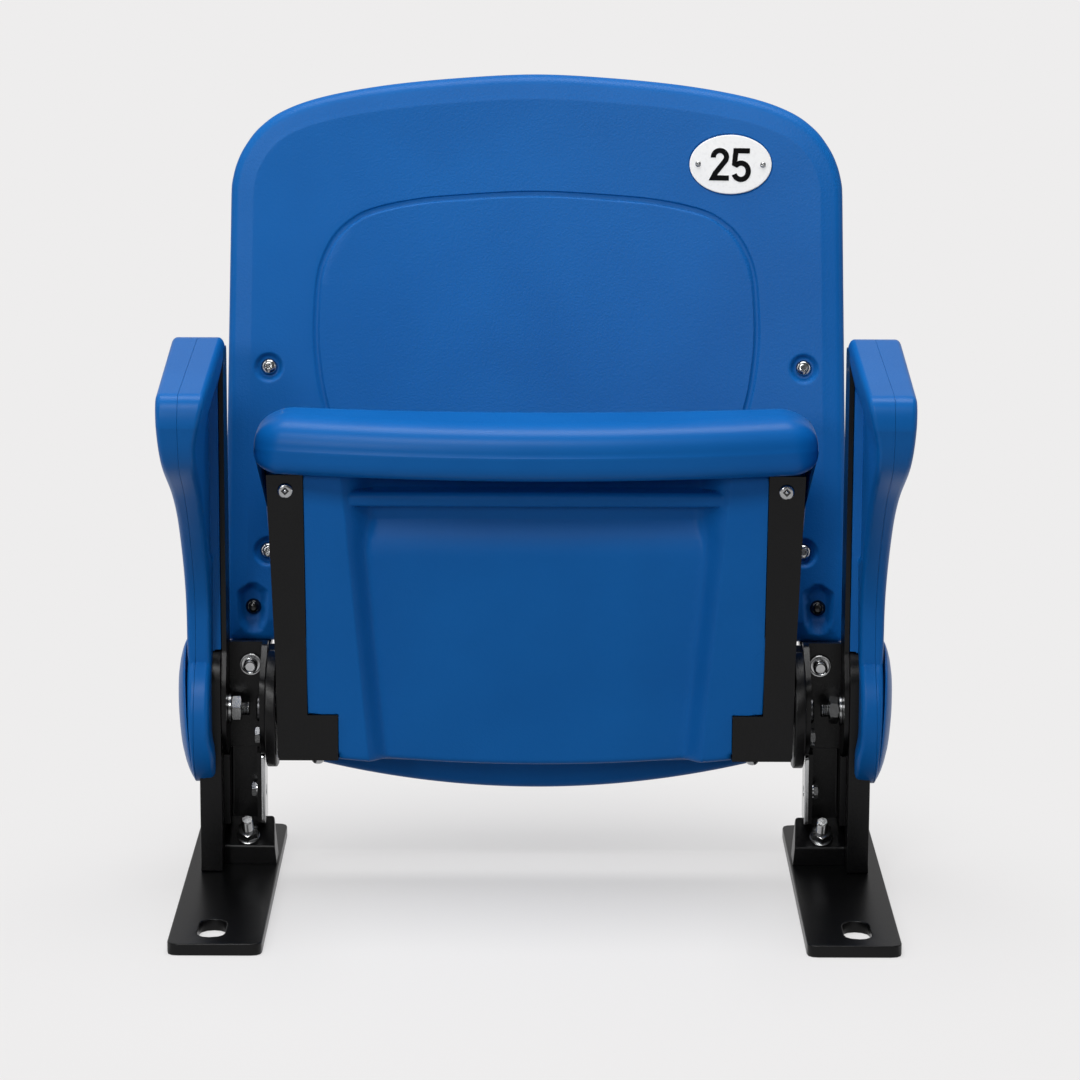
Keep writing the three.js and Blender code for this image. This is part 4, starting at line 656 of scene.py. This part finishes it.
def eased(z, rises, faces, low, high, width):
    """Places between those at the rises, with the bends between straight runs softened over a width."""
    soft = np.convolve(np.interp(np.arange(low, high), rises, faces), np.ones(width) / width, mode="same")
    return np.interp(z, np.arange(-80, 351), soft[-80 - low:351 - high])


def arm_outer(y, z, edge):
    splay = ARM_SPLAY * (y + ARM_REACH) / (ARM_REAR + ARM_REACH) * smooth(200, 280, z)
    face = eased(z, OUTER_RISES, OUTER_FACES, -110, 381, 41) + splay
    soft = ARM_ROUND * (1 + smooth(0, -50, z))
    return face - roll(edge, soft, 1) * np.minimum(0.9 * soft, 0.7 * (face - arm_seam(z)))


def arm_outer_seam(y, z, edge):
    return arm_seam(z) + SEAM_GAP + roll(edge, 0.4, 0.2)


def arm_inner_seam(y, z, edge):
    return arm_seam(z) - roll(edge, 0.4, 0.2)


def make_arms():
    outline = arm_outline()
    web = rounded([(-y * ARM_REACH, z * ARM_RISE, 12) for y, z in WEB_SHARES])
    crown = arc(LEG_TURN, (LEG_ROUND, LEG_ROUND), 0, 180, 40)
    leg = np.vstack([[(-LEG_FRONT, -LEG_FOOT), (LEG_REAR, -LEG_FOOT)], crown])
    slot, rib = rounded(POST_SLOT), rounded(RIB)

    def arm_inner(y, z, edge):
        where = np.column_stack([y, z])
        x = eased(z, INNER_RISES, INNER_FACES, -90, 361, 15) + roll(edge, INNER_ROUND, INNER_DROP)
        x = np.maximum(x, x + (WEB_FACE - x) * smooth(0, 2.2, distance(where, web)))
        x = x + (RIB_FACE - x) * smooth(-0.6, 1.4, distance(where, rib))
        x = np.where(distance(where, leg) > 0, np.maximum(x, LEG_FACE), x)
        open_slot = smooth(-0.3, 0.3, distance(where, slot))
        return np.maximum(x, x + (POST_FACE - x) * open_slot * (x < POST_FACE))

    extras = [spread(inset(web, s), 2.4) for s in (-1, 0, 0.5, 1, 1.6, 2.2, 3)]
    extras += [even(inset(leg, s), 2.4) for s in (-0.5, 0.05, 0.6)]
    extras += [even(inset(slot, s), 2.6) for s in (-0.9, -0.3, 0, 0.3, 0.9)]
    extras += [even(inset(rib, s), 2.6) for s in (-1.2, -0.6, 0, 0.6, 1.4, 2)]
    rims = (0.1, 0.35, 0.8, 1.4, 2.2, 3.2, 4.4, 5.8, 7.4, 9, 10.5)
    shells = {
        "outer": plate(outline, rims, [], 5, arm_outer, arm_outer_seam, "yz"),
        "inner": plate(outline, rims, extras, 5, arm_inner_seam, arm_inner, "yz"),
    }
    for side, hand in SIDES:
        for name, (points, skin) in shells.items():
            shell = piece(f"{side}_arm_{name}_moulding", "stand", "blue_smooth", mirrored(points, hand),
                          skin, 40, f"{side}_arm_{name}_shell")
            level_faces(shell)
        points, skin = hoop(CAP, 96)
        across = CAP_SEAT - CAP_RADIUS * DISC_LEAN
        points = aimed(points, (hand * across, 0, 0), (hand, 0, -CAP_LEAN))
        piece(f"{side}_arm_cap_moulding", "stand", "blue_smooth", points, skin, 35, f"{side}_arm_cap")


# Fasteners: each is drawn about +Z, which then points along its heading. Places are the right side's.

DOME = [(0, 0.15), (0.8, 0), (1, 0.04), (1, 0.14), (0.965, 0.3), (0.88, 0.55), (0.74, 0.77), (0.56, 0.92),
        (0.4, 0.985)]
OUTWARD, FORWARD, DOWNWARD = (1, 0, 0), (0, -1, 0), (0, 0, -1)
HEAD_GAP, NUT_TURN = 0.3, 17
LOWER_HEAD, UPPER_HEAD, UPPER_SEAT = (6.75, 5.4), (6.9, 4.0), 4
BRACKET_FLANGE = [(0, 0), (9.2, 0), (9.6, 0.5), (9.6, 1.5), (9.1, 2.2), (8.2, 2.3), (7.6, 1.7), (6.6, 1.7),
                  (0, 1.7)]
BRACKET_STUD = [(0, -14), (6, -14), (6, 11.4), (5.8, 12.2), (5.2, 12.6), (4.6, 12.4), (3.8, 11.2), (0, 10.8)]
SHELF, SHELF_LOW, SHELF_HIGH = [(218.6, 32), (229, 32), (229, 56), (218.6, 56, 6)], 36, 43.5
ARM_WASHER = [(6.3, 0), (12.7, 0), (13, 0.3), (13, 2.4), (12.7, 2.7), (6.3, 2.7)]
ARM_BOLT = [(0, -44.5), (5, -44.5), (6, -43.5)]
ARM_BOLT += [(6 - 0.5 * (k % 2), -43.2 + 0.65 * k) for k in range(20)]
ARM_BOLT += [(6, -30), (6, 0), (10.6, 0), (11, 0.5)] + [(r * 11, h * 6) for r, h in DOME[3:]] + [(0, 6)]
FOOT_WASHER = [(0, 0), (9.8, 0), (10, 0.4), (9.8, 1.4), (8.4, 2), (0, 2)]
LUG_SLOPE, LUG_TOP, LUG_BACK, FOOT_NUT_AT = math.atan2(19, 27.7), 26, 9, (245.4, 1)
PIN = [(0, -43.4), (6, -43.4), (7, -42.4), (7, 0), (10.6, 0), (11, 0.4), (11, 2.4), (10, 3.5), (4, 3.5),
       (3.4, 2.9), (0, 2.9)]
BUSH = [(7.35, -4.9), (9.2, -4.9), (9.2, 0), (11.7, 0), (12, 0.3), (12, 1.6), (11.7, 1.9), (7.35, 1.9)]
SPRING_END, SPRING_STEP, SPRING_TURNS, SPRING_RADIUS, SPRING_TAIL, WIRE = 209.3, 3.7, 4, 10.4, -37.7, 1.6
SCREW_HEAD = [(3, 0)] + [(r * 6.5, h * 2.6) for r, h in DOME[1:7]]
SCREW_POST = [(0, 0), (1.3, 0), (1.3, 1.5), (1.0, 1.8), (0, 1.9)]


def dome(radius, rise):
    return [(r * radius, h * rise) for r, h in DOME]


def rod(radius, low, high, sides=24):
    return lathe([(0, low), (radius, low), (radius, high), (0, high)], sides)


def turned(body):
    """A nut turned a little about its axis, as it stops when tightened."""
    turn = np.array(Matrix.Rotation(math.radians(NUT_TURN), 3, "Z"))
    return body[0] @ turn.T, body[1]


def back_look(z):
    """Heading of the back's face at a height."""
    return unit(np.array([0, -1, (back_face(0, z + 12) - back_face(0, z - 12)) / 24]))


def put(name, body, finish, node, seat, heading, *parts, shade_patches=()):
    """Joins bodies drawn about +Z into one piece that stands for a node. The dark patches given apart are
    painted shade: gloss-black sheets in place of the shadow deep in a recess.
    """
    points, skin = merged(*parts, *shade_patches)
    obj = piece(name, body, finish, aimed(points, seat, heading), skin, 40, node)
    if shade_patches:
        obj.data.materials.append(materials["gloss_black"])
        bright = sum(len(faces) for _, faces in parts)
        obj.data.polygons.foreach_set("material_index", [int(i >= bright) for i in range(len(skin))])


def fit(side, hand, name, node, place, heading, *parts, body="stand", finish="zinc", shade_patches=()):
    """Puts a piece that is given at the right side on one of the sides."""
    put(f"{side}_{name}", body, finish, f"{side}_{node}", mirrored(place, hand), mirrored(heading, hand),
        *parts, shade_patches=shade_patches)


def make_back_bolts(side, hand):
    for name, (across, rise) in BOLTS.items():
        look = back_look(rise)
        if name == "lower":
            depth, finish, head = SHIELD_DEPTH, "gloss_black", lathe(dome(*LOWER_HEAD) + [(0, LOWER_HEAD[1])])
        else:
            depth, finish, head = UPPER_SEAT, "zinc", socketed(dome(*UPPER_HEAD), 6, 3.6, 2.2)
        seat = np.array([across, back_face(across, rise) + depth, rise])
        stem = rod(4, (strap_face(rise) - seat[1]) * look[1] - 12, 0.1)
        fit(side, hand, f"{name}_back_bolt_head", f"back_bolt_{name}", seat + look * HEAD_GAP, look,
            head, stem, finish=finish)


def make_bracket_bolts(side, hand):
    fit(side, hand, "bracket_stud", "bracket_bolt", (242.9, 19.7, 34), FORWARD, lathe(BRACKET_FLANGE, 64),
        lathe(BRACKET_STUD, 64))
    points, skin = plate(even(rounded(SHELF), 2), (0.4, 1), [], 3, level(SHELF_LOW, 1, 0.8),
                         level(SHELF_HIGH, 1, -0.8))
    piece(f"{side}_strap_flange", "stand", "powder", mirrored(points[:, (0, 2, 1)], hand), skin, 40)
    fit(side, hand, "arm_washer_ring", "arm_washer", (258, 0, 0), OUTWARD, hoop(ARM_WASHER, 64))
    fit(side, hand, "arm_hexagon", "arm_nut", (249.7, 0, 0), OUTWARD, turned(nut(20, 0, 8)))
    fit(side, hand, "arm_stud", "arm_bolt", (287.3, 0, 0), OUTWARD, lathe(ARM_BOLT))
    fit(side, hand, "disc_bolt_head", "disc_bolt", (233.3, -12, -20.5), OUTWARD, turned(nut(13, 0, 4.5)),
        rod(4, -14.4, 0.2))
    fit(side, hand, "column_bolt_head", "column_bolt", (237.3, 8, -73.5), OUTWARD, rod(7, 0, 1, 48),
        turned(nut(11.6, 0.8, 5)), rod(4.5, -6.7, 0.2))
    heading = np.array([0, -math.sin(LUG_SLOPE), math.cos(LUG_SLOPE)])
    seat = np.array([*FOOT_NUT_AT, LUG_TOP + LUG_BACK * math.tan(LUG_SLOPE) - AXLE[2]])
    fit(side, hand, "foot_nut", "foot_bolt", seat + heading * HEAD_GAP, heading, lathe(FOOT_WASHER, 64),
        nut(16, 1.8, 10), lathe(thread(5, -14, 22, 1.5), 40))


def make_spring(side, hand):
    turns = np.linspace(0, SPRING_TURNS, 28 * SPRING_TURNS + 1)
    spin = 2 * math.pi * turns
    coil = np.column_stack([SPRING_END - SPRING_STEP * turns, SPRING_RADIUS * np.sin(spin),
                            SPRING_RADIUS * np.cos(spin)])
    tail = [(SPRING_END, y, SPRING_RADIUS) for y in np.linspace(SPRING_TAIL, -3, 9)]
    path = np.vstack([tail, coil])
    along = unit(np.gradient(path, axis=0))
    first = unit(np.cross(along, OUTWARD))
    second = np.cross(along, first)
    round_wire = np.linspace(0, 2 * math.pi, 12, endpoint=False)
    rings = [place + WIRE * (np.outer(np.cos(round_wire), a) + np.outer(np.sin(round_wire), b))
             for place, a, b in zip(path, first, second)]
    points, skin = rings_body(rings)
    piece(f"{side}_spring", "seat", "dark_zinc", mirrored(points, hand), skin, 60, f"{side}_torsion_spring")


def make_hinge_parts(side, hand):
    fit(side, hand, "pin", "pivot_pin", (233.3, 0, 0), OUTWARD, lathe(PIN), finish="dark_zinc")
    fit(side, hand, "bush", "hinge_bush", (216.1, 0, 0), OUTWARD, hoop(BUSH), body="seat")
    make_spring(side, hand)
    # The gloss-black square sheet sunk in the socket is painted shade, standing in for the shadow deep in the
    # square recess.
    fit(side, hand, "square_screw", "seat_arm_screw", (208.5, -42.3, 197.3), FORWARD,
        socketed(SCREW_HEAD, 4, 5, 1.6, 48, 6), rod(3, -20, 0.1), lathe(SCREW_POST, 24), body="seat",
        shade_patches=[rod(3.3, 1.0, 1.15, 4)])
    fit(side, hand, "foot_screw", "seat_foot_bolt", (184, -22, -34.8), DOWNWARD,
        socketed(dome(6.5, 7.5), 6, 4, 2.4), rod(3, -20, 0.1), body="seat")


# Number plate

TALL, BOLD, DIGIT_HALF, DIGIT_PROUD, RIVET_ACROSS = 28.3, 4.5, 5.7, 0.3, 28
RIVET = [(1.6, -9), (1.6, 0), (2.6, 0)] + [(2.6 * r, 1.5 * h) for r, h in DOME[3:8]]
RIVET += [(1.0, 1.45), (0.9, 0.5), (0, 0.5)]


def stroke(line, width):
    """Closed counterclockwise outline of a stroke along an open line, with square ends."""
    line = np.array(line, float)
    ahead = unit(np.diff(line, axis=0))
    first = np.vstack([ahead[:1], ahead])
    last = np.vstack([ahead, ahead[-1:]])
    mean = unit(first + last)
    stretch = 1 / np.maximum((mean * first).sum(1), 0.45)
    side = np.column_stack([-mean[:, 1], mean[:, 0]]) * (stretch * width / 2)[:, None]
    return np.vstack([line - side, (line + side)[::-1]])


def digits():
    """Name, centre line and shift of each digit."""
    high, half = TALL / 2 - BOLD / 2, DIGIT_HALF
    two = np.vstack([arc((0, high - half), (half, half), 185, -25, 22),
                     [(-0.62 * half, -high + 4.4), (-half, -high), (half + 2.4, -high)]])
    five = np.vstack([[(half + 1.6, high), (-half + 0.9, high), (-half, 0.6)],
                      arc((0, -high + half + 0.35), (half + 0.6, half + 1.4), 128, -158, 26)])
    return ("two", two, -9.3), ("five", five, 9.2)


def make_number():
    x, z = NUMBER_ACROSS, NUMBER_RISE
    slope_x = (back_face(x + 12, z) - back_face(x - 12, z)) / 24
    slope_z = (back_face(x, z + 12) - back_face(x, z - 12)) / 24
    look = unit(np.array([slope_x, -1, slope_z]))
    right = unit(np.cross((0, 0, 1), look))
    up = np.cross(look, right)
    centre = np.array([x, back_face(x, z), z])

    def lay(name, body, angle, finish, *nodes):
        """Lays a body drawn flat, with its depth along Y, on the plate's place in the back."""
        points, skin = body
        places = centre + np.outer(points[:, 0], right) + np.outer(points[:, 2], up)
        piece(name, "stand", finish, places - np.outer(points[:, 1], look), skin, angle, *nodes)

    oval = arc((0, 0), NUMBER_HALF, 0, 357, 120)
    body = plate(oval, (0.1, 0.3, 0.6, 1.2), [], 3, level(-PLATE_PROUD, 0.6, 0.5), level(1))
    lay("number_oval", body, 40, "white_enamel", "number_plate")
    for name, line, shift in digits():
        shape = even(stroke(line, BOLD) + (shift, 0), 1.2)
        body = plate(shape, (), [], 1.6, level(-PLATE_PROUD - DIGIT_PROUD), level(-PLATE_PROUD + 0.2))
        lay(f"digit_{name}", body, 30, "black_print")
    for end, hand in SIDES:
        seat = centre + right * hand * RIVET_ACROSS + look * (PLATE_PROUD + 0.1)
        put(f"number_rivet_{end}", "stand", "zinc", f"number_screw_{end}", seat, look, lathe(RIVET, 32))


# Materials

CLOUD_SCALE, FINE_SCALE, PEBBLE_SCALE, PEBBLE_DEPTH, FINE_DEPTH = 9, 900, 520, 0.0006, 0.0003
PLASTIC_DARK, PLASTIC_LIGHT, PLASTIC_SPECULAR = (8, 91, 164), (12, 97, 172), 0.13
METAL_CLOUD_SCALE, NOISE_RANGE = 40, (0.3, 0.7)
BACKDROP, FLOOR_GREY, BOUNCE_GREY = (238, 237, 237), (222, 221, 221), (150, 150, 150)


def colour(red, green, blue):
    """A linear colour from one written as on a screen."""
    shades = (red, green, blue)
    return (*(((v / 255 + 0.055) / 1.055) ** 2.4 if v > 10 else v / 255 / 12.92 for v in shades), 1)


def add(tree, kind, *sources, **settings):
    """A new node with sources linked to its first inputs."""
    node = tree.nodes.new("ShaderNode" + kind)
    for source, socket in zip(sources, node.inputs):
        tree.links.new(source, socket)
    for name, value in settings.items():
        setattr(node, name, value)
    return node


def mapped(tree, value, given, wanted, shape="LINEAR"):
    """Maps a value from one range to another and holds it there."""
    node = add(tree, "MapRange", value, interpolation_type=shape)
    for k, end in enumerate(("Min", "Max")):
        node.inputs[f"From {end}"].default_value = given[k]
        node.inputs[f"To {end}"].default_value = wanted[k]
    return node.outputs["Result"]


def shader(name, roughness, metallic=0.0, specular=0.5):
    made = bpy.data.materials.new(name)
    made.use_nodes = True
    tree = made.node_tree
    gloss = tree.nodes["Principled BSDF"]
    for socket, value in (("Metallic", metallic), ("Specular IOR Level", specular), ("Roughness", roughness)):
        gloss.inputs[socket].default_value = value
    materials[name] = made
    return tree, gloss, add(tree, "TexCoord").outputs["Object"]


def noise(tree, where, scale, detail):
    node = add(tree, "TexNoise", where)
    node.inputs["Scale"].default_value = scale
    node.inputs["Detail"].default_value = detail
    return node.outputs["Fac"]


def blended(tree, value, dark, light):
    ramp = add(tree, "ValToRGB", value)
    for element, place, shade in zip(ramp.color_ramp.elements, NOISE_RANGE, (dark, light)):
        element.position = place
        element.color = colour(*shade)
    return ramp.outputs["Color"]


def bumped(tree, height, strength, reach, below=None):
    node = add(tree, "Bump")
    tree.links.new(height, node.inputs["Height"])
    node.inputs["Strength"].default_value = strength
    node.inputs["Distance"].default_value = reach
    if below:
        tree.links.new(below, node.inputs["Normal"])
    return node.outputs["Normal"]


def surface(tree, gloss, shade, rough, normal):
    for source, socket in ((shade, "Base Color"), (rough, "Roughness"), (normal, "Normal")):
        tree.links.new(source, gloss.inputs[socket])


def make_plastic(name, grain, roughness):
    tree, gloss, where = shader(name, roughness, specular=PLASTIC_SPECULAR)
    shade = blended(tree, noise(tree, where, CLOUD_SCALE, 2), PLASTIC_DARK, PLASTIC_LIGHT)
    fine = noise(tree, where, FINE_SCALE, 3)
    rough = mapped(tree, fine, NOISE_RANGE, (roughness - 0.05, roughness + 0.05))
    pebbles = bumped(tree, noise(tree, where, PEBBLE_SCALE, 2), grain, PEBBLE_DEPTH)
    surface(tree, gloss, shade, rough, bumped(tree, fine, grain * 0.6, FINE_DEPTH, pebbles))


def make_metal(name, dark, light, roughness, metallic, grain, scale=FINE_SCALE, specular=0.5):
    tree, gloss, where = shader(name, roughness, metallic, specular)
    shade = blended(tree, noise(tree, where, METAL_CLOUD_SCALE, 4), dark, light)
    fine = noise(tree, where, scale, 2)
    rough = mapped(tree, fine, NOISE_RANGE, (roughness - 0.06, roughness + 0.06))
    surface(tree, gloss, shade, rough, bumped(tree, fine, grain, FINE_DEPTH))


def make_materials():
    make_plastic("blue", 0.32, 0.42)
    make_plastic("blue_smooth", 0.012, 0.35)
    make_metal("powder", (2, 2, 3), (5, 5, 6), 0.32, 0.0, 0.15, 1400, 0.22)
    make_metal("zinc", (158, 159, 160), (176, 177, 178), 0.2, 1.0, 0.03)
    make_metal("dark_zinc", (60, 60, 62), (84, 84, 86), 0.3, 1.0, 0.08)
    make_metal("gloss_black", (8, 8, 9), (13, 13, 14), 0.18, 0.0, 0.05)
    make_metal("white_enamel", (240, 240, 239), (242, 242, 241), 0.3, 0.0, 0.02, 300)
    make_metal("black_print", (5, 5, 6), (9, 9, 10), 0.6, 0.0, 0.1, 700, 0.05)


# Nodes of the model that are shown as they are, with softened edges of these widths

STEEL = {"foot_plate": 1.2, "leg_bar": 1.0, "foot_lug": 1.4, "column": 0.7, "hinge_bracket": 1.0,
         "hinge_disc": 0.6, "seat_arm": 0.9, "back_strap": 0.8}
STRAP_EDGE = 0.3


def soften(node, width, material, segments):
    obj = frame["nodes"][node]
    obj.data.materials.clear()
    obj.data.materials.append(materials[material])
    joined = obj.modifiers.new("joined", "WELD")
    joined.merge_threshold = 1e-5
    bevel = obj.modifiers.new("edges", "BEVEL")
    bevel.width = width / 1000
    bevel.segments = segments
    bevel.limit_method = "ANGLE"
    bevel.angle_limit = math.radians(40)
    obj.data.polygons.foreach_set("use_smooth", [True] * len(obj.data.polygons))
    level_faces(obj)


def keep_nodes():
    for side, _ in SIDES:
        for node, width in STEEL.items():
            soften(f"{side}_{node}", width, "powder", 2)
        soften(f"{side}_column_strap", STRAP_EDGE, "zinc", 1)


# Camera, floor and lights, with places in metres from the floor under the part's middle

CAMERA_AT, CAMERA_TILT, CAMERA_ROLL = (0, -3.351057, 1.009), 78, 0.19
LENS, SENSOR, CAMERA_SHIFT = 136.13, 36, 4.2 / 1080
FLOOR_HALF = 60
CONTACT_AT, CONTACT_REACH, CONTACT_GLOW = (0, -0.15, 0), (0.15, 0.6), (0.55, 1)
SKY_LIGHT, SKY_MIRRORED, SKY_REAR, SKY_REAR_SHARE = 0.16, 0.12, (-0.35, 0.35), 0.45
LAMPS = [  # name, place, aim, size, power
    ("overhead", (0, 0.2, 2.8), (0, 0, 0.3), (1.8, 1.2), 53),
    ("front", (-0.6, -3.0, 3.0), (0, 0, 0.35), (1.6, 1.1), 61),
    ("low_front", (-1.2, -3.6, 1.4), (0, 0, 0.3), (0.6, 0.6), 24),
    ("high_left", (-1.9, -0.2, 2.2), (-0.2, 0, 0.4), (0.8, 0.8), 6),
    ("strip_1", (-2.4, -0.5, 0.9), (0, 0, 0.4), (0.4, 1.8), 6),
    ("strip_3", (2.4, -0.5, 0.9), (0, 0, 0.4), (0.4, 1.8), 6),
]


def make_camera():
    camera = bpy.data.objects.new("camera", bpy.data.cameras.new("camera"))
    bpy.context.collection.objects.link(camera)
    camera.location = CAMERA_AT
    turn = (Matrix.Rotation(math.radians(CAMERA_TILT), 3, "X")
            @ Matrix.Rotation(math.radians(CAMERA_ROLL), 3, "Z"))
    camera.rotation_euler = turn.to_euler()
    camera.data.lens = LENS
    camera.data.sensor_width = SENSOR
    camera.data.shift_x = CAMERA_SHIFT
    bpy.context.scene.camera = camera


def seen(tree, rays, glossy):
    """One for a ray that shows what it meets: from the camera, through glass, or off metal by a share."""
    straight = add(tree, "Math", rays["Is Camera Ray"], rays["Is Transmission Ray"], operation="MAXIMUM")
    return add(tree, "Math", straight.outputs["Value"], glossy, operation="MAXIMUM").outputs["Value"]


def make_floor():
    """A floor that shows as the backdrop, shaded only near the part, and throws back a little light."""
    mesh = bpy.data.meshes.new("floor")
    corners = [(x * FLOOR_HALF, y * FLOOR_HALF, 0) for x, y in ((-1, -1), (1, -1), (1, 1), (-1, 1))]
    mesh.from_pydata(corners, [], [(0, 1, 2, 3)])
    floor = bpy.data.objects.new("floor", mesh)
    bpy.context.collection.objects.link(floor)
    tree, gloss, where = shader("floor", 0.9, specular=0.0)
    gloss.inputs["Base Color"].default_value = colour(*FLOOR_GREY)
    glow = add(tree, "Emission")
    glow.inputs["Color"].default_value = colour(*BACKDROP)
    away = add(tree, "VectorMath", where, operation="DISTANCE")
    away.inputs[1].default_value = CONTACT_AT
    far = mapped(tree, away.outputs["Value"], CONTACT_REACH, CONTACT_GLOW, "SMOOTHSTEP")
    front = add(tree, "MixShader", far, gloss.outputs["BSDF"], glow.outputs["Emission"])
    bounce = add(tree, "BsdfDiffuse")
    bounce.inputs["Color"].default_value = colour(*BOUNCE_GREY)
    rays = add(tree, "LightPath").outputs
    shown = add(tree, "MixShader", seen(tree, rays, rays["Is Glossy Ray"]), bounce.outputs["BSDF"],
                front.outputs["Shader"])
    tree.links.new(shown.outputs["Shader"], tree.nodes["Material Output"].inputs["Surface"])
    mesh.materials.append(materials["floor"])


def make_world():
    """A dim white sky that shows as the backdrop, in metal only behind the part and only by a share."""
    world = bpy.data.worlds.new("studio")
    bpy.context.scene.world = world
    world.use_nodes = True
    tree = world.node_tree
    rays = add(tree, "LightPath").outputs
    light = tree.nodes["Background"]
    light.inputs["Color"].default_value = (1, 1, 1, 1)
    dim = mapped(tree, rays["Is Glossy Ray"], (0, 1), (SKY_LIGHT, SKY_MIRRORED))
    tree.links.new(dim, light.inputs["Strength"])
    backdrop = add(tree, "Background")
    backdrop.inputs["Color"].default_value = colour(*BACKDROP)
    parts = add(tree, "SeparateXYZ", add(tree, "TexCoord").outputs["Generated"]).outputs
    rear = mapped(tree, parts["Y"], SKY_REAR, (0, SKY_REAR_SHARE), "SMOOTHSTEP")
    glossy = add(tree, "Math", rays["Is Glossy Ray"], rear, operation="MULTIPLY").outputs["Value"]
    shown = add(tree, "MixShader", seen(tree, rays, glossy), light.outputs["Background"],
                backdrop.outputs["Background"])
    tree.links.new(shown.outputs["Shader"], tree.nodes["World Output"].inputs["Surface"])


def make_lights():
    for name, place, aim, size, power in LAMPS:
        lamp = bpy.data.lights.new(name, "AREA")
        lamp.shape = "RECTANGLE"
        lamp.size, lamp.size_y = size
        lamp.energy = power
        obj = bpy.data.objects.new(name, lamp)
        bpy.context.collection.objects.link(obj)
        obj.location = place
        obj.rotation_euler = (Vector(aim) - Vector(place)).to_track_quat("-Z", "Y").to_euler()


make_camera()
make_floor()
make_world()
make_lights()
make_materials()
keep_nodes()
make_back()
make_seat_top()
make_pan()
make_arms()
for side, hand in SIDES:
    make_back_bolts(side, hand)
    make_bracket_bolts(side, hand)
    make_hinge_parts(side, hand)
make_number()

scene = bpy.context.scene
scene.view_settings.view_transform = "Standard"
bpy.context.view_layer.update()
